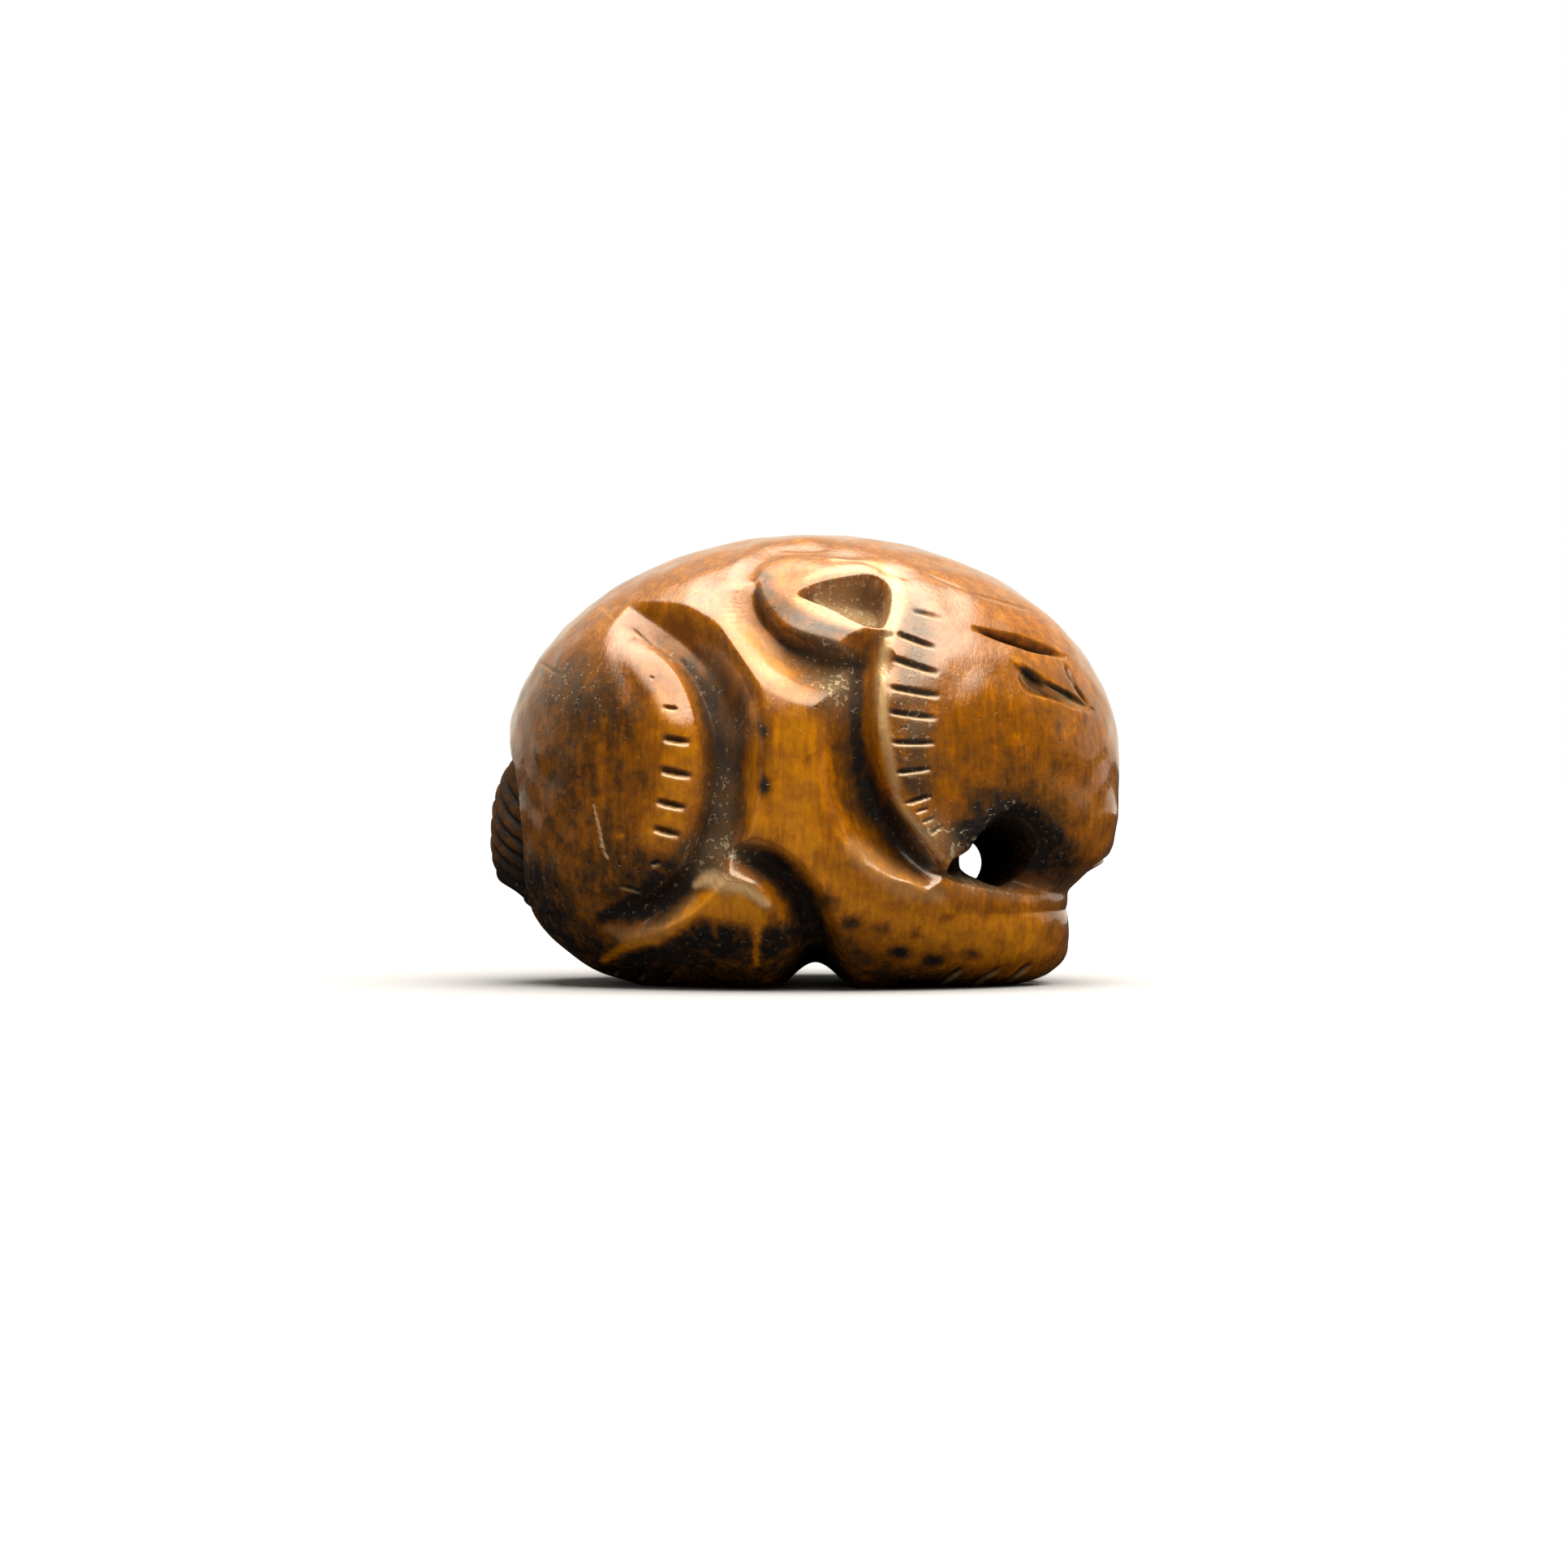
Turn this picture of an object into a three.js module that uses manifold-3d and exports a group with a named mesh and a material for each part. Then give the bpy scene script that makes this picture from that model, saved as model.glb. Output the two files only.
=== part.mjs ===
// A bead carved from one piece of boxwood as a crouching rabbit, with its nose on its forepaws.
// The carver starts from an egg-shaped blank, sinks the hollows between the limbs into it, leaves the
// tail proud, flattens the soles, and drills a cord channel that bends behind the chin.
// Millimetres, +Z up, the nose towards +X. The origin is the middle of the soles.
import * as THREE from 'three';
import { mergeVertices } from 'three/addons/utils/BufferGeometryUtils.js';
import Module from 'manifold-3d';

const wasm = await Module();
wasm.setup();

// Driving dimensions of the bead.
const BODY_LENGTH = 29.1;
const BODY_HEIGHT = 21.3;
const BODY_WIDTH = 19.0;
const TAIL_PROUD = 0.85;
const SOLE_TRIM = 0.6;
const CHANNEL_DIAMETER = 2.6;
const CHANNEL_MOUTH_DIAMETER = 3.2;

// The blank is an ellipsoid above its middle and a fuller, squarer form below it.
const HALF_LENGTH = BODY_LENGTH / 2;
const HALF_WIDTH = BODY_WIDTH / 2;
const MID_HEIGHT = BODY_HEIGHT / 2;
const UPPER_HEIGHT = BODY_HEIGHT - MID_HEIGHT;
const LOWER_HEIGHT = MID_HEIGHT + SOLE_TRIM;
const LOWER_SQUARENESS = 4;

// Below its middle the blank is drawn in towards the chin and the forepaws, under the rump and under the
// flanks. Rows of [up, reach of the nose end, reach of the rump end, reach of the flanks], in hundredths of
// the height and shares of the blank.
const LOWER_TRIM = [
  [0, 1.02, 0.89, 0.78], [2.1, 1.02, 0.92, 0.86], [5.7, 0.975, 0.933, 0.925], [9.2, 0.931, 0.945, 0.96],
  [12.8, 0.898, 0.974, 0.98], [16.5, 0.866, 0.992, 0.99], [20.1, 0.89, 0.995, 0.995], [23.7, 0.937, 0.998, 1],
  [27.4, 0.962, 1, 1], [30.9, 0.984, 1, 1], [37.4, 0.998, 1, 1], [50, 1, 1, 1],
];
const NOSE_COLUMN = 1;
const RUMP_COLUMN = 2;
const FLANK_COLUMN = 3;

// The carving keeps its proportions: places are hundredths of the length, from the middle towards the
// nose, and of the height, from the soles up. Depths, reaches and walls are hundredths of the height.
const PERCENT_LENGTH = BODY_LENGTH / 100;
const PERCENT_HEIGHT = BODY_HEIGHT / 100;

// How finely the surface is cut into triangles.
const FIRST_DETAIL = 11;
const TRIANGLES = 9100;
const SHARE_PER_ROUND = 0.08;
const SHORTEST_EDGE = 0.24;
const EDGE_SAMPLES = [0.2, 0.35, 0.5, 0.65, 0.8];
const SLIVER_COST = 0.05;
const THINNEST = 0.12;
const THINNEST_FLAT = 0.06;
const FLIP_GAIN = 0.95;
const CURVE_STEPS = 5;

// Each cut follows a line of [along, up, depth, reach] over the flank. Up to the line the form rolls
// over, or is cut flat where its curve is 1. From the line it drops at a crisp wall, and it rises again
// over its reach, on the line's left or right hand as the line runs.
const LEFT = 1;
const RIGHT = -1;
const HAUNCH_HOLLOW = {
  hand: LEFT, bevel: 7.5, drop: 2.4, curve: 2, wall: 2.6, floor: 0.3,
  line: [
    [-31.5, 80.2, 0.3, 3], [-26.5, 75, 4.6, 9], [-22.3, 69.2, 6.6, 12], [-19.9, 62.3, 7.4, 13.5],
    [-18.5, 54.8, 7.8, 13], [-18.2, 47, 8, 12.5], [-19, 37, 8, 11.5], [-21.4, 27.8, 7.4, 8.5],
    [-26.3, 20.8, 5.6, 6.5], [-33.5, 14.6, 0.3, 3],
  ],
};
const NECK_HOLLOW = {
  hand: RIGHT, bevel: 2, drop: 1.2, curve: 1, wall: 3, floor: 0.1,
  line: [
    [11.6, 77.3, 0.2, 3], [11.2, 73.3, 4.4, 7.5], [10.4, 66.3, 6.4, 10], [10, 56, 7.6, 12],
    [10.8, 47.4, 8.6, 12.5], [13, 40.2, 9.6, 12], [16.8, 32.4, 9.4, 9], [19.2, 27.8, 6, 5],
    [20.8, 24.3, 0.4, 3],
  ],
};
const CHIN_HOLLOW = {
  hand: LEFT, bevel: 4.5, drop: 1.8, curve: 2, wall: 3, floor: 0.2,
  line: [
    [20.2, 24.9, 0.4, 3], [22.4, 23.3, 9, 6], [25.4, 22.2, 15, 12], [30, 21.1, 15, 17],
    [34.5, 20.1, 9.5, 16], [38, 19.7, 4.6, 12], [41, 19.3, 3, 8], [47, 18.9, 2.6, 6],
  ],
};
const EAR_UNDERCUT = {
  hand: RIGHT, bevel: 2.2, drop: 0.9, curve: 2, wall: 2, floor: 0.1,
  line: [
    [-9.4, 88.2, 0.6, 4], [-8.1, 83.3, 3.4, 9], [-4.4, 77.8, 4.6, 11], [0.4, 74.7, 5, 12],
    [5.5, 73, 5, 11], [9, 73.4, 3.6, 7], [11.4, 75.3, 0.2, 3],
  ],
};
const EAR_BACK_EDGE = {
  hand: LEFT, bevel: 0.8, drop: 0.3, curve: 2, wall: 1.2, floor: 0,
  line: [
    [-9.4, 88.2, 0.6, 4], [-8.2, 92.1, 1.2, 4], [-4, 94, 1.5, 4], [1.8, 94.2, 1.5, 4],
    [7.6, 92.9, 0.9, 4], [12.8, 89.8, 0.1, 3],
  ],
};
const EYE_CUT = {
  hand: RIGHT, bevel: 0.1, drop: 0.1, curve: 1, wall: 0.9, floor: 0,
  line: [[32.9, 69.4, 0.6, 2], [35.2, 67.3, 2.6, 3.6], [37.9, 65, 2, 1.8], [44.2, 61.3, 0.2, 1]],
};
const WALLED_CUTS = [
  HAUNCH_HOLLOW, NECK_HOLLOW, CHIN_HOLLOW, EAR_UNDERCUT, EAR_BACK_EDGE, EYE_CUT,
];

// Each groove follows a line of [along, up, depth, half width], the same on both sides.
const FOOT_GROOVE = [
  [-12.9, 29.6, 4.4, 4.5], [-7.2, 26.8, 7, 5.5], [-2.8, 20.5, 7.6, 6], [-0.5, 12.6, 7.6, 6.5],
  [0.4, 5.6, 7.6, 8], [0.3, -0.9, 7.8, 11.5], [0.3, -13, 7.8, 12.5],
];
const BROW_CUT = [[25.3, 78, 0.4, 0.8], [32.8, 75.2, 2.4, 1.6], [40.3, 72.3, 0.4, 0.8]];
const GROOVES = [FOOT_GROOVE, BROW_CUT];

// The hollow of the ear, as an outline of [along, up], deeper towards the head.
const EAR_HOLLOW = {
  wall: 2.4, depthAtTip: 3, depthAtHead: 8, tip: -3, head: 9,
  outline: [
    [-3, 83.6], [-0.2, 87.4], [4.3, 89.1], [9.5, 89.7], [11.9, 87.3], [12.2, 83.5], [11.1, 78.6],
    [9.6, 75.7], [6.5, 75.7], [1.7, 79.4],
  ],
};

// The tail lies up the rump, seen from behind as an ellipse in a sunk ring, shallower above and below it.
const TAIL = { up: 31.5, halfHeight: 18.5, halfWidth: 11, fullness: 0.75 };
const TAIL_RING = { depth: 4.4, reach: 0.4, tipShare: 0.3 };

// The soles are parted by a groove along the middle of the underside, wider between the hind feet.
const SOLE_GROOVE = { depth: 6, hindHalfWidth: 8, foreHalfWidth: 3.4, top: 17, fade: 7 };

// The face, seen from the front: mouth, nostrils and the line between them, as [across, up] ends.
const FACE_CUTS = [
  { from: [0, 28.5], to: [9, 26.5], depth: 2.2, halfWidth: 1.2 },
  { from: [0, 28.5], to: [0, 36], depth: 1.8, halfWidth: 1.1 },
  { from: [2, 38], to: [5, 40.5], depth: 2, halfWidth: 1.1 },
];

// The cord channel is drilled from both flanks, and the two drillings meet in the middle.
const CHANNEL_MIDDLE = { along: 22.6, up: 26.7 };
const CHANNEL_MOUTH = { along: 33, up: 30.4, across: 84 };
const CHANNEL_SIDES = 20;
const CHANNEL_OVERLAP = 0.6;

const clamp01 = (t) => Math.min(1, Math.max(0, t));
const smooth = (t) => clamp01(t) ** 2 * (3 - 2 * clamp01(t));
const blend = (a, b, t) => a + (b - a) * t;

// A smooth line through the control rows, with every column interpolated, closed or open.
function throughRows(rows, closed = false) {
  const count = rows.length;
  const row = (i) => {
    if (closed) return rows[(i + count) % count];
    if (i < 0) return rows[0].map((value, k) => 2 * value - rows[1][k]);
    if (i >= count) return rows[count - 1].map((value, k) => 2 * value - rows[count - 2][k]);
    return rows[i];
  };
  const made = [];
  for (let i = 0; i < (closed ? count : count - 1); i++) {
    for (let step = 0; step < CURVE_STEPS; step++) {
      const t = step / CURVE_STEPS;
      made.push(row(i).map((value, k) => {
        const [before, next, after] = [row(i - 1)[k], row(i + 1)[k], row(i + 2)[k]];
        const leave = (next - before) / 2;
        const arrive = (after - value) / 2;
        return (2 * t ** 3 - 3 * t ** 2 + 1) * value + (t ** 3 - 2 * t ** 2 + t) * leave
          + (3 * t ** 2 - 2 * t ** 3) * next + (t ** 3 - t ** 2) * arrive;
      }));
    }
  }
  made.push(closed ? made[0] : rows[count - 1]);
  return made;
}

// Control rows in hundredths, made into a line in millimetres on the flank.
function flankLine(rows, closed = false) {
  return throughRows(rows, closed).map(([along, up, ...rest]) => (
    [along * PERCENT_LENGTH, up * PERCENT_HEIGHT, ...rest.map((value) => value * PERCENT_HEIGHT)]
  ));
}

// The nearest place of a line to (x, z): how far off it is, on which hand, and its other columns.
function nearestOn(line, x, z) {
  let best = { away: Infinity };
  for (let i = 0; i + 1 < line.length; i++) {
    const [ax, az] = line[i];
    const [runX, runZ] = [line[i + 1][0] - ax, line[i + 1][1] - az];
    const t = clamp01(((x - ax) * runX + (z - az) * runZ) / (runX ** 2 + runZ ** 2));
    const [offX, offZ] = [x - ax - t * runX, z - az - t * runZ];
    const away = Math.hypot(offX, offZ);
    if (away < best.away) {
      best = { away, index: i, t, hand: runX * offZ - runZ * offX >= 0 ? LEFT : RIGHT };
    }
  }
  const [from, to] = [line[best.index], line[best.index + 1]];
  best.values = from.slice(2).map((value, k) => blend(value, to[k + 2], best.t));
  return best;
}

// A line with the furthest that its cut reaches from it.
function withReach(rows, beside = 0) {
  const line = flankLine(rows);
  return { line, most: beside + Math.max(...line.map((row) => row[3])) };
}

const walledCuts = WALLED_CUTS.map((cut) => {
  const [bevel, drop, wall] = [cut.bevel, cut.drop, cut.wall].map((value) => value * PERCENT_HEIGHT);
  return { ...cut, bevel, drop, wall, ...withReach(cut.line, bevel + wall) };
});
const grooves = GROOVES.map((rows) => withReach(rows));
const earOutline = flankLine(EAR_HOLLOW.outline, true);

// Whether a place is too far from a line for any cut along it to matter.
function isBeyond({ line, most }, x, z) {
  const box = line.box ??= new THREE.Box2().setFromPoints(line.map(([px, pz]) => new THREE.Vector2(px, pz)));
  return x < box.min.x - most || x > box.max.x + most || z < box.min.y - most || z > box.max.y + most;
}

// The form rolls over its bevel, then drops at the wall to a floor that rises over the reach.
function walledDepth(cut, x, z) {
  if (isBeyond(cut, x, z)) return 0;
  const near = nearestOn(cut.line, x, z);
  const [depth, reach] = near.values;
  const off = near.away * near.hand * cut.hand;
  if (off <= -cut.bevel) return 0;
  const rolled = Math.min(depth, cut.drop) * clamp01(1 + off / cut.bevel) ** cut.curve;
  if (off <= 0) return rolled;
  const down = clamp01(off / cut.wall);
  const rise = (off - cut.wall) / reach;
  const dropped = rolled + (depth - rolled) * down * (2 - down);
  return dropped * (1 - smooth((rise - cut.floor) / (1 - cut.floor)));
}

function grooveDepth(groove, x, z) {
  if (isBeyond(groove, x, z)) return 0;
  const near = nearestOn(groove.line, x, z);
  const [depth, halfWidth] = near.values;
  return depth * (1 - smooth(near.away / halfWidth));
}

function isInside(outline, x, z) {
  let inside = false;
  for (let i = 0; i + 1 < outline.length; i++) {
    const [ax, az] = outline[i];
    const [bx, bz] = outline[i + 1];
    if ((az > z) !== (bz > z) && x < ax + (z - az) / (bz - az) * (bx - ax)) inside = !inside;
  }
  return inside;
}

function earHollowDepth(x, z) {
  if (!isInside(earOutline, x, z)) return 0;
  const down = clamp01(nearestOn(earOutline, x, z).away / (EAR_HOLLOW.wall * PERCENT_HEIGHT));
  const along = x / PERCENT_LENGTH;
  const share = clamp01((along - EAR_HOLLOW.tip) / (EAR_HOLLOW.head - EAR_HOLLOW.tip));
  return blend(EAR_HOLLOW.depthAtTip, EAR_HOLLOW.depthAtHead, share) * PERCENT_HEIGHT * down * (2 - down);
}

// Depth on the rump: the sunk ring is positive and the tail, proud of the blank, is negative.
function tailDepth(x, y, z) {
  if (x > 0) return 0;
  const across = y / (TAIL.halfWidth * PERCENT_HEIGHT);
  const upwards = (z - TAIL.up * PERCENT_HEIGHT) / (TAIL.halfHeight * PERCENT_HEIGHT);
  const out = Math.hypot(across, upwards);
  const beside = out > 0 ? (across / out) ** 2 : 0;
  const ring = TAIL_RING.depth * PERCENT_HEIGHT * blend(TAIL_RING.tipShare, 1, beside);
  if (out >= 1) return ring * clamp01(1 - (out - 1) / TAIL_RING.reach);
  return ring - (ring + TAIL_PROUD) * (1 - out ** 2) ** TAIL.fullness;
}

function soleGrooveDepth(x, y, z) {
  const fore = smooth(0.5 + x / (10 * PERCENT_LENGTH));
  const halfWidth = blend(SOLE_GROOVE.hindHalfWidth, SOLE_GROOVE.foreHalfWidth, fore) * PERCENT_HEIGHT;
  const fade = 1 - smooth((z / PERCENT_HEIGHT - SOLE_GROOVE.top) / SOLE_GROOVE.fade);
  return SOLE_GROOVE.depth * PERCENT_HEIGHT * fade * (1 - smooth(Math.abs(y) / halfWidth));
}

function faceDepth(x, y, z) {
  if (x < 0) return 0;
  return Math.max(...FACE_CUTS.map(({ from, to, depth, halfWidth }) => {
    const line = [from, to].map((end) => end.map((value) => value * PERCENT_HEIGHT));
    const { away } = nearestOn(line, Math.abs(y), z);
    return depth * PERCENT_HEIGHT * (1 - smooth(away / (halfWidth * PERCENT_HEIGHT)));
  }));
}

// How deep the blank is cut at one of its surface points. Cuts that cross run into each other softly.
function carvedDepth(x, y, z) {
  const crossing = 6;
  const tail = tailDepth(x, y, z);
  const cuts = [
    ...walledCuts.map((cut) => walledDepth(cut, x, z)),
    ...grooves.map((groove) => grooveDepth(groove, x, z)),
    earHollowDepth(x, z), soleGrooveDepth(x, y, z), faceDepth(x, y, z), Math.max(0, tail),
  ];
  return cuts.reduce((sum, depth) => sum + depth ** crossing, 0) ** (1 / crossing) + Math.min(0, tail);
}

// How far the blank reaches at a height towards its nose, its rump or its flanks, as a share.
function lowerTrim(z, column) {
  const up = z / PERCENT_HEIGHT;
  const next = LOWER_TRIM.findIndex(([height]) => height > up);
  if (next < 0) return 1;
  if (next === 0) return LOWER_TRIM[0][column];
  const [below, above] = [LOWER_TRIM[next - 1], LOWER_TRIM[next]];
  return blend(below[column], above[column], (up - below[0]) / (above[0] - below[0]));
}

// The blank's surface point in a direction from its middle, moved in by the carving along the normal
// that the blank has before its ends are trimmed, and flattened at the soles.
function carve({ x: dx, y: dy, z: dz }) {
  const power = dz >= 0 ? 2 : LOWER_SQUARENESS;
  const high = dz >= 0 ? UPPER_HEIGHT : LOWER_HEIGHT;
  const size = (Math.hypot(dx, dy) ** power + Math.abs(dz) ** power) ** (-1 / power);
  const [u, v, w] = [size * dx, size * dy, size * dz];
  const around = Math.hypot(u, v) ** (power - 2);
  const normal = new THREE.Vector3(
    around * u / HALF_LENGTH, around * v / HALF_WIDTH, Math.sign(w) * Math.abs(w) ** (power - 1) / high,
  ).normalize();
  const point = new THREE.Vector3(u * HALF_LENGTH, v * HALF_WIDTH, MID_HEIGHT + w * high);
  point.x *= lowerTrim(point.z, u > 0 ? NOSE_COLUMN : RUMP_COLUMN);
  point.y *= lowerTrim(point.z, FLANK_COLUMN);
  point.addScaledVector(normal, -carvedDepth(point.x, point.y, point.z));
  point.z = Math.max(0, point.z);
  return point;
}

// A net of directions over the blank, split where the carved surface is furthest from its triangles.
class CarvedNet {
  constructor(geometry) {
    const { position } = geometry.attributes;
    const corners = Array.from({ length: position.count }, (_, i) => i);
    this.directions = corners.map((i) => new THREE.Vector3().fromBufferAttribute(position, i).normalize());
    this.points = this.directions.map(carve);
    this.faces = [];
    for (let i = 0; i < geometry.index.count; i += 3) {
      this.faces.push([0, 1, 2].map((k) => geometry.index.getX(i + k)));
    }
    this.bends = new Map();
    this.hasSplit = new Set();
  }

  key(a, b) {
    return a < b ? `${a}_${b}` : `${b}_${a}`;
  }

  length(a, b) {
    return this.points[a].distanceTo(this.points[b]);
  }

  // Where along an edge the carved surface lies furthest from it, and how far.
  bend(a, b) {
    const key = this.key(a, b);
    if (!this.bends.has(key)) {
      const chord = new THREE.Line3(this.points[a], this.points[b]);
      const nearest = new THREE.Vector3();
      let worst = { error: -1 };
      EDGE_SAMPLES.forEach((share) => {
        const direction = this.directions[a].clone().lerp(this.directions[b], share).normalize();
        const point = carve(direction);
        const error = chord.closestPointToPoint(point, true, nearest).distanceTo(point);
        if (error > worst.error) worst = { error, direction, point };
      });
      this.bends.set(key, worst);
    }
    return this.bends.get(key);
  }

  edges(face) {
    return [[face[0], face[1]], [face[1], face[2]], [face[2], face[0]]];
  }

  facesByEdge() {
    const found = new Map();
    this.faces.forEach((face, index) => this.edges(face).forEach(([a, b]) => {
      const key = this.key(a, b);
      found.set(key, [...(found.get(key) ?? []), index]);
    }));
    return found;
  }

  // The edge of a face that bends most, leaving out its short edges.
  edgeToSplit(face) {
    const edges = this.edges(face);
    const longest = Math.max(...edges.map((edge) => this.length(...edge)));
    const long = edges.filter((edge) => this.length(...edge) > longest / 2);
    return long.reduce((best, edge) => (this.bend(...edge).error > this.bend(...best).error ? edge : best));
  }

  // Splits the worst faces where they bend, each face at most once in a round.
  split() {
    const byEdge = this.facesByEdge();
    const ranked = this.faces.map((face) => this.edgeToSplit(face))
      .filter((edge) => this.length(...edge) > 2 * SHORTEST_EDGE);
    ranked.sort((one, other) => this.bend(...other).error - this.bend(...one).error);
    const done = new Set();
    const most = Math.ceil(this.faces.length * SHARE_PER_ROUND);
    let splits = 0;
    for (const edge of ranked) {
      if (splits >= most || this.faces.length >= TRIANGLES) break;
      const key = this.key(...edge);
      const pair = byEdge.get(key);
      if (pair.some((index) => done.has(index))) continue;
      const { direction, point } = this.bend(...edge);
      const added = this.points.push(point) - 1;
      this.directions.push(direction);
      this.hasSplit.add(key);
      pair.forEach((index) => {
        const face = this.faces[index];
        const start = this.edges(face).findIndex(([a, b]) => this.key(a, b) === key);
        const [a, b, c] = [0, 1, 2].map((k) => face[(start + k) % 3]);
        this.faces[index] = [a, added, c];
        this.faces.push([added, b, c]);
        done.add(index);
      });
      splits += 1;
    }
    return splits;
  }

  // Turns an edge the other way across its two faces where that follows the carving better.
  flip() {
    const byEdge = this.facesByEdge();
    const taken = new Set([...byEdge.keys(), ...this.hasSplit]);
    const done = new Set();
    byEdge.forEach((pair, key) => {
      if (pair.some((index) => done.has(index))) return;
      const [from, to] = this.edges(this.faces[pair[0]]).find(([a, b]) => this.key(a, b) === key);
      const [c, d] = pair.map((index) => this.faces[index].find((corner) => corner !== from && corner !== to));
      if (taken.has(this.key(c, d))) return;
      const kept = pair.map((index) => this.faces[index]);
      const turned = [[from, d, c], [d, to, c]];
      const [before, after] = [this.cost(from, to, kept), this.cost(c, d, turned)];
      if (after === Infinity || after > FLIP_GAIN * before) return;
      turned.forEach((face, k) => { this.faces[pair[k]] = face; });
      taken.add(this.key(c, d));
      pair.forEach((index) => done.add(index));
    });
  }

  // How badly an edge and the two faces beside it follow the carving.
  cost(a, b, faces) {
    if (Math.min(...faces.map((face) => this.roundness(face, this.directions))) < THINNEST_FLAT) return Infinity;
    const thinnest = Math.min(...faces.map((face) => this.roundness(face, this.points)));
    return thinnest < THINNEST ? Infinity : this.bend(a, b).error + SLIVER_COST * (1 - thinnest);
  }

  // One for an equal-sided triangle, nothing for a flat one or for one that is turned inside out.
  roundness(face, places) {
    const outward = new THREE.Triangle(...face.map((corner) => this.directions[corner]));
    if (outward.getNormal(new THREE.Vector3()).dot(outward.a) <= 0) return 0;
    const { a, b, c } = new THREE.Triangle(...face.map((corner) => places[corner]));
    const sides = a.distanceToSquared(b) + b.distanceToSquared(c) + c.distanceToSquared(a);
    return 4 * Math.sqrt(3) * new THREE.Triangle(a, b, c).getArea() / sides;
  }

  solid() {
    const vertProperties = new Float32Array(this.points.flatMap((point) => point.toArray()));
    const triVerts = new Uint32Array(this.faces.flat());
    return new wasm.Manifold(new wasm.Mesh({ numProp: 3, vertProperties, triVerts }));
  }
}

function onlyPositions(geometry) {
  geometry.deleteAttribute('normal');
  geometry.deleteAttribute('uv');
  return mergeVertices(geometry, 1e-5);
}

function toSolid(geometry) {
  const closed = onlyPositions(geometry);
  const vertProperties = new Float32Array(closed.attributes.position.array);
  const triVerts = new Uint32Array(closed.index.array);
  return new wasm.Manifold(new wasm.Mesh({ numProp: 3, vertProperties, triVerts }));
}

function toGeometry(solid) {
  const { vertProperties, triVerts } = solid.getMesh();
  const geometry = new THREE.BufferGeometry();
  geometry.setAttribute('position', new THREE.BufferAttribute(new Float32Array(vertProperties), 3));
  geometry.setIndex(new THREE.BufferAttribute(new Uint32Array(triVerts), 1));
  geometry.computeVertexNormals();
  return geometry;
}

// One drilling of the cord channel, on the side of the bead that the sign names.
function drilling(side) {
  const middle = new THREE.Vector3(
    CHANNEL_MIDDLE.along * PERCENT_LENGTH, 0, CHANNEL_MIDDLE.up * PERCENT_HEIGHT,
  );
  const mouth = new THREE.Vector3(
    CHANNEL_MOUTH.along * PERCENT_LENGTH, side * CHANNEL_MOUTH.across / 100 * HALF_WIDTH,
    CHANNEL_MOUTH.up * PERCENT_HEIGHT,
  );
  const run = mouth.clone().sub(middle);
  const direction = run.clone().normalize();
  const length = run.length() + CHANNEL_OVERLAP;
  const drill = new THREE.CylinderGeometry(
    CHANNEL_MOUTH_DIAMETER / 2, CHANNEL_DIAMETER / 2, length, CHANNEL_SIDES,
  );
  drill.applyQuaternion(new THREE.Quaternion().setFromUnitVectors(new THREE.Vector3(0, 1, 0), direction));
  drill.translate(...middle.addScaledVector(direction, length / 2 - CHANNEL_OVERLAP).toArray());
  return toSolid(drill);
}

function rabbit() {
  const net = new CarvedNet(onlyPositions(new THREE.IcosahedronGeometry(1, FIRST_DETAIL)));
  while (net.faces.length < TRIANGLES && net.split() > 0) net.flip();
  net.flip();
  const drilled = net.solid().subtract(drilling(1)).subtract(drilling(-1));
  const { min, max } = drilled.boundingBox();
  const boxwood = new THREE.MeshStandardMaterial({ color: 0xa8641c, roughness: 0.32, metalness: 0 });
  const mesh = new THREE.Mesh(toGeometry(drilled.translate([-(min[0] + max[0]) / 2, 0, 0])), boxwood);
  mesh.name = 'carved_rabbit';
  return mesh;
}

const bead = new THREE.Group();
bead.add(rabbit());

export default bead;
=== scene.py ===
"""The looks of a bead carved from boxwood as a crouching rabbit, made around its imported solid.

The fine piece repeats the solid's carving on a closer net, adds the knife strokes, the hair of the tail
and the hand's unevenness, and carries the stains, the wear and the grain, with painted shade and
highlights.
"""

import bmesh
import bpy
import numpy as np
from bpy.props import FloatProperty, FloatVectorProperty, IntProperty, PointerProperty
from mathutils import Matrix, Vector
from mathutils.kdtree import KDTree


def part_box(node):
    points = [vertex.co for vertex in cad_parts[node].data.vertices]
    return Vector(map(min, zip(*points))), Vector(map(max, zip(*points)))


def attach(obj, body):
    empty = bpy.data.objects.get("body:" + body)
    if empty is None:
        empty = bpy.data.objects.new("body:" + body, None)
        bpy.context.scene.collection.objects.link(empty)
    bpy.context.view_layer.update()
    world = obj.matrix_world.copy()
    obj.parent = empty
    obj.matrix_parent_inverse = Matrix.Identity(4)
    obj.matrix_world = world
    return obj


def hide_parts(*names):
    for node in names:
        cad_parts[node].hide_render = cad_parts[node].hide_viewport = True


bl_info = {
    "name": "Carved rabbit bead",
    "version": (1, 0, 0),
    "blender": (4, 5, 0),
    "location": "3D View > Sidebar > Rabbit Bead",
    "description": "Builds the carved and stained boxwood rabbit around its packed solid",
    "category": "Object",
}

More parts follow.
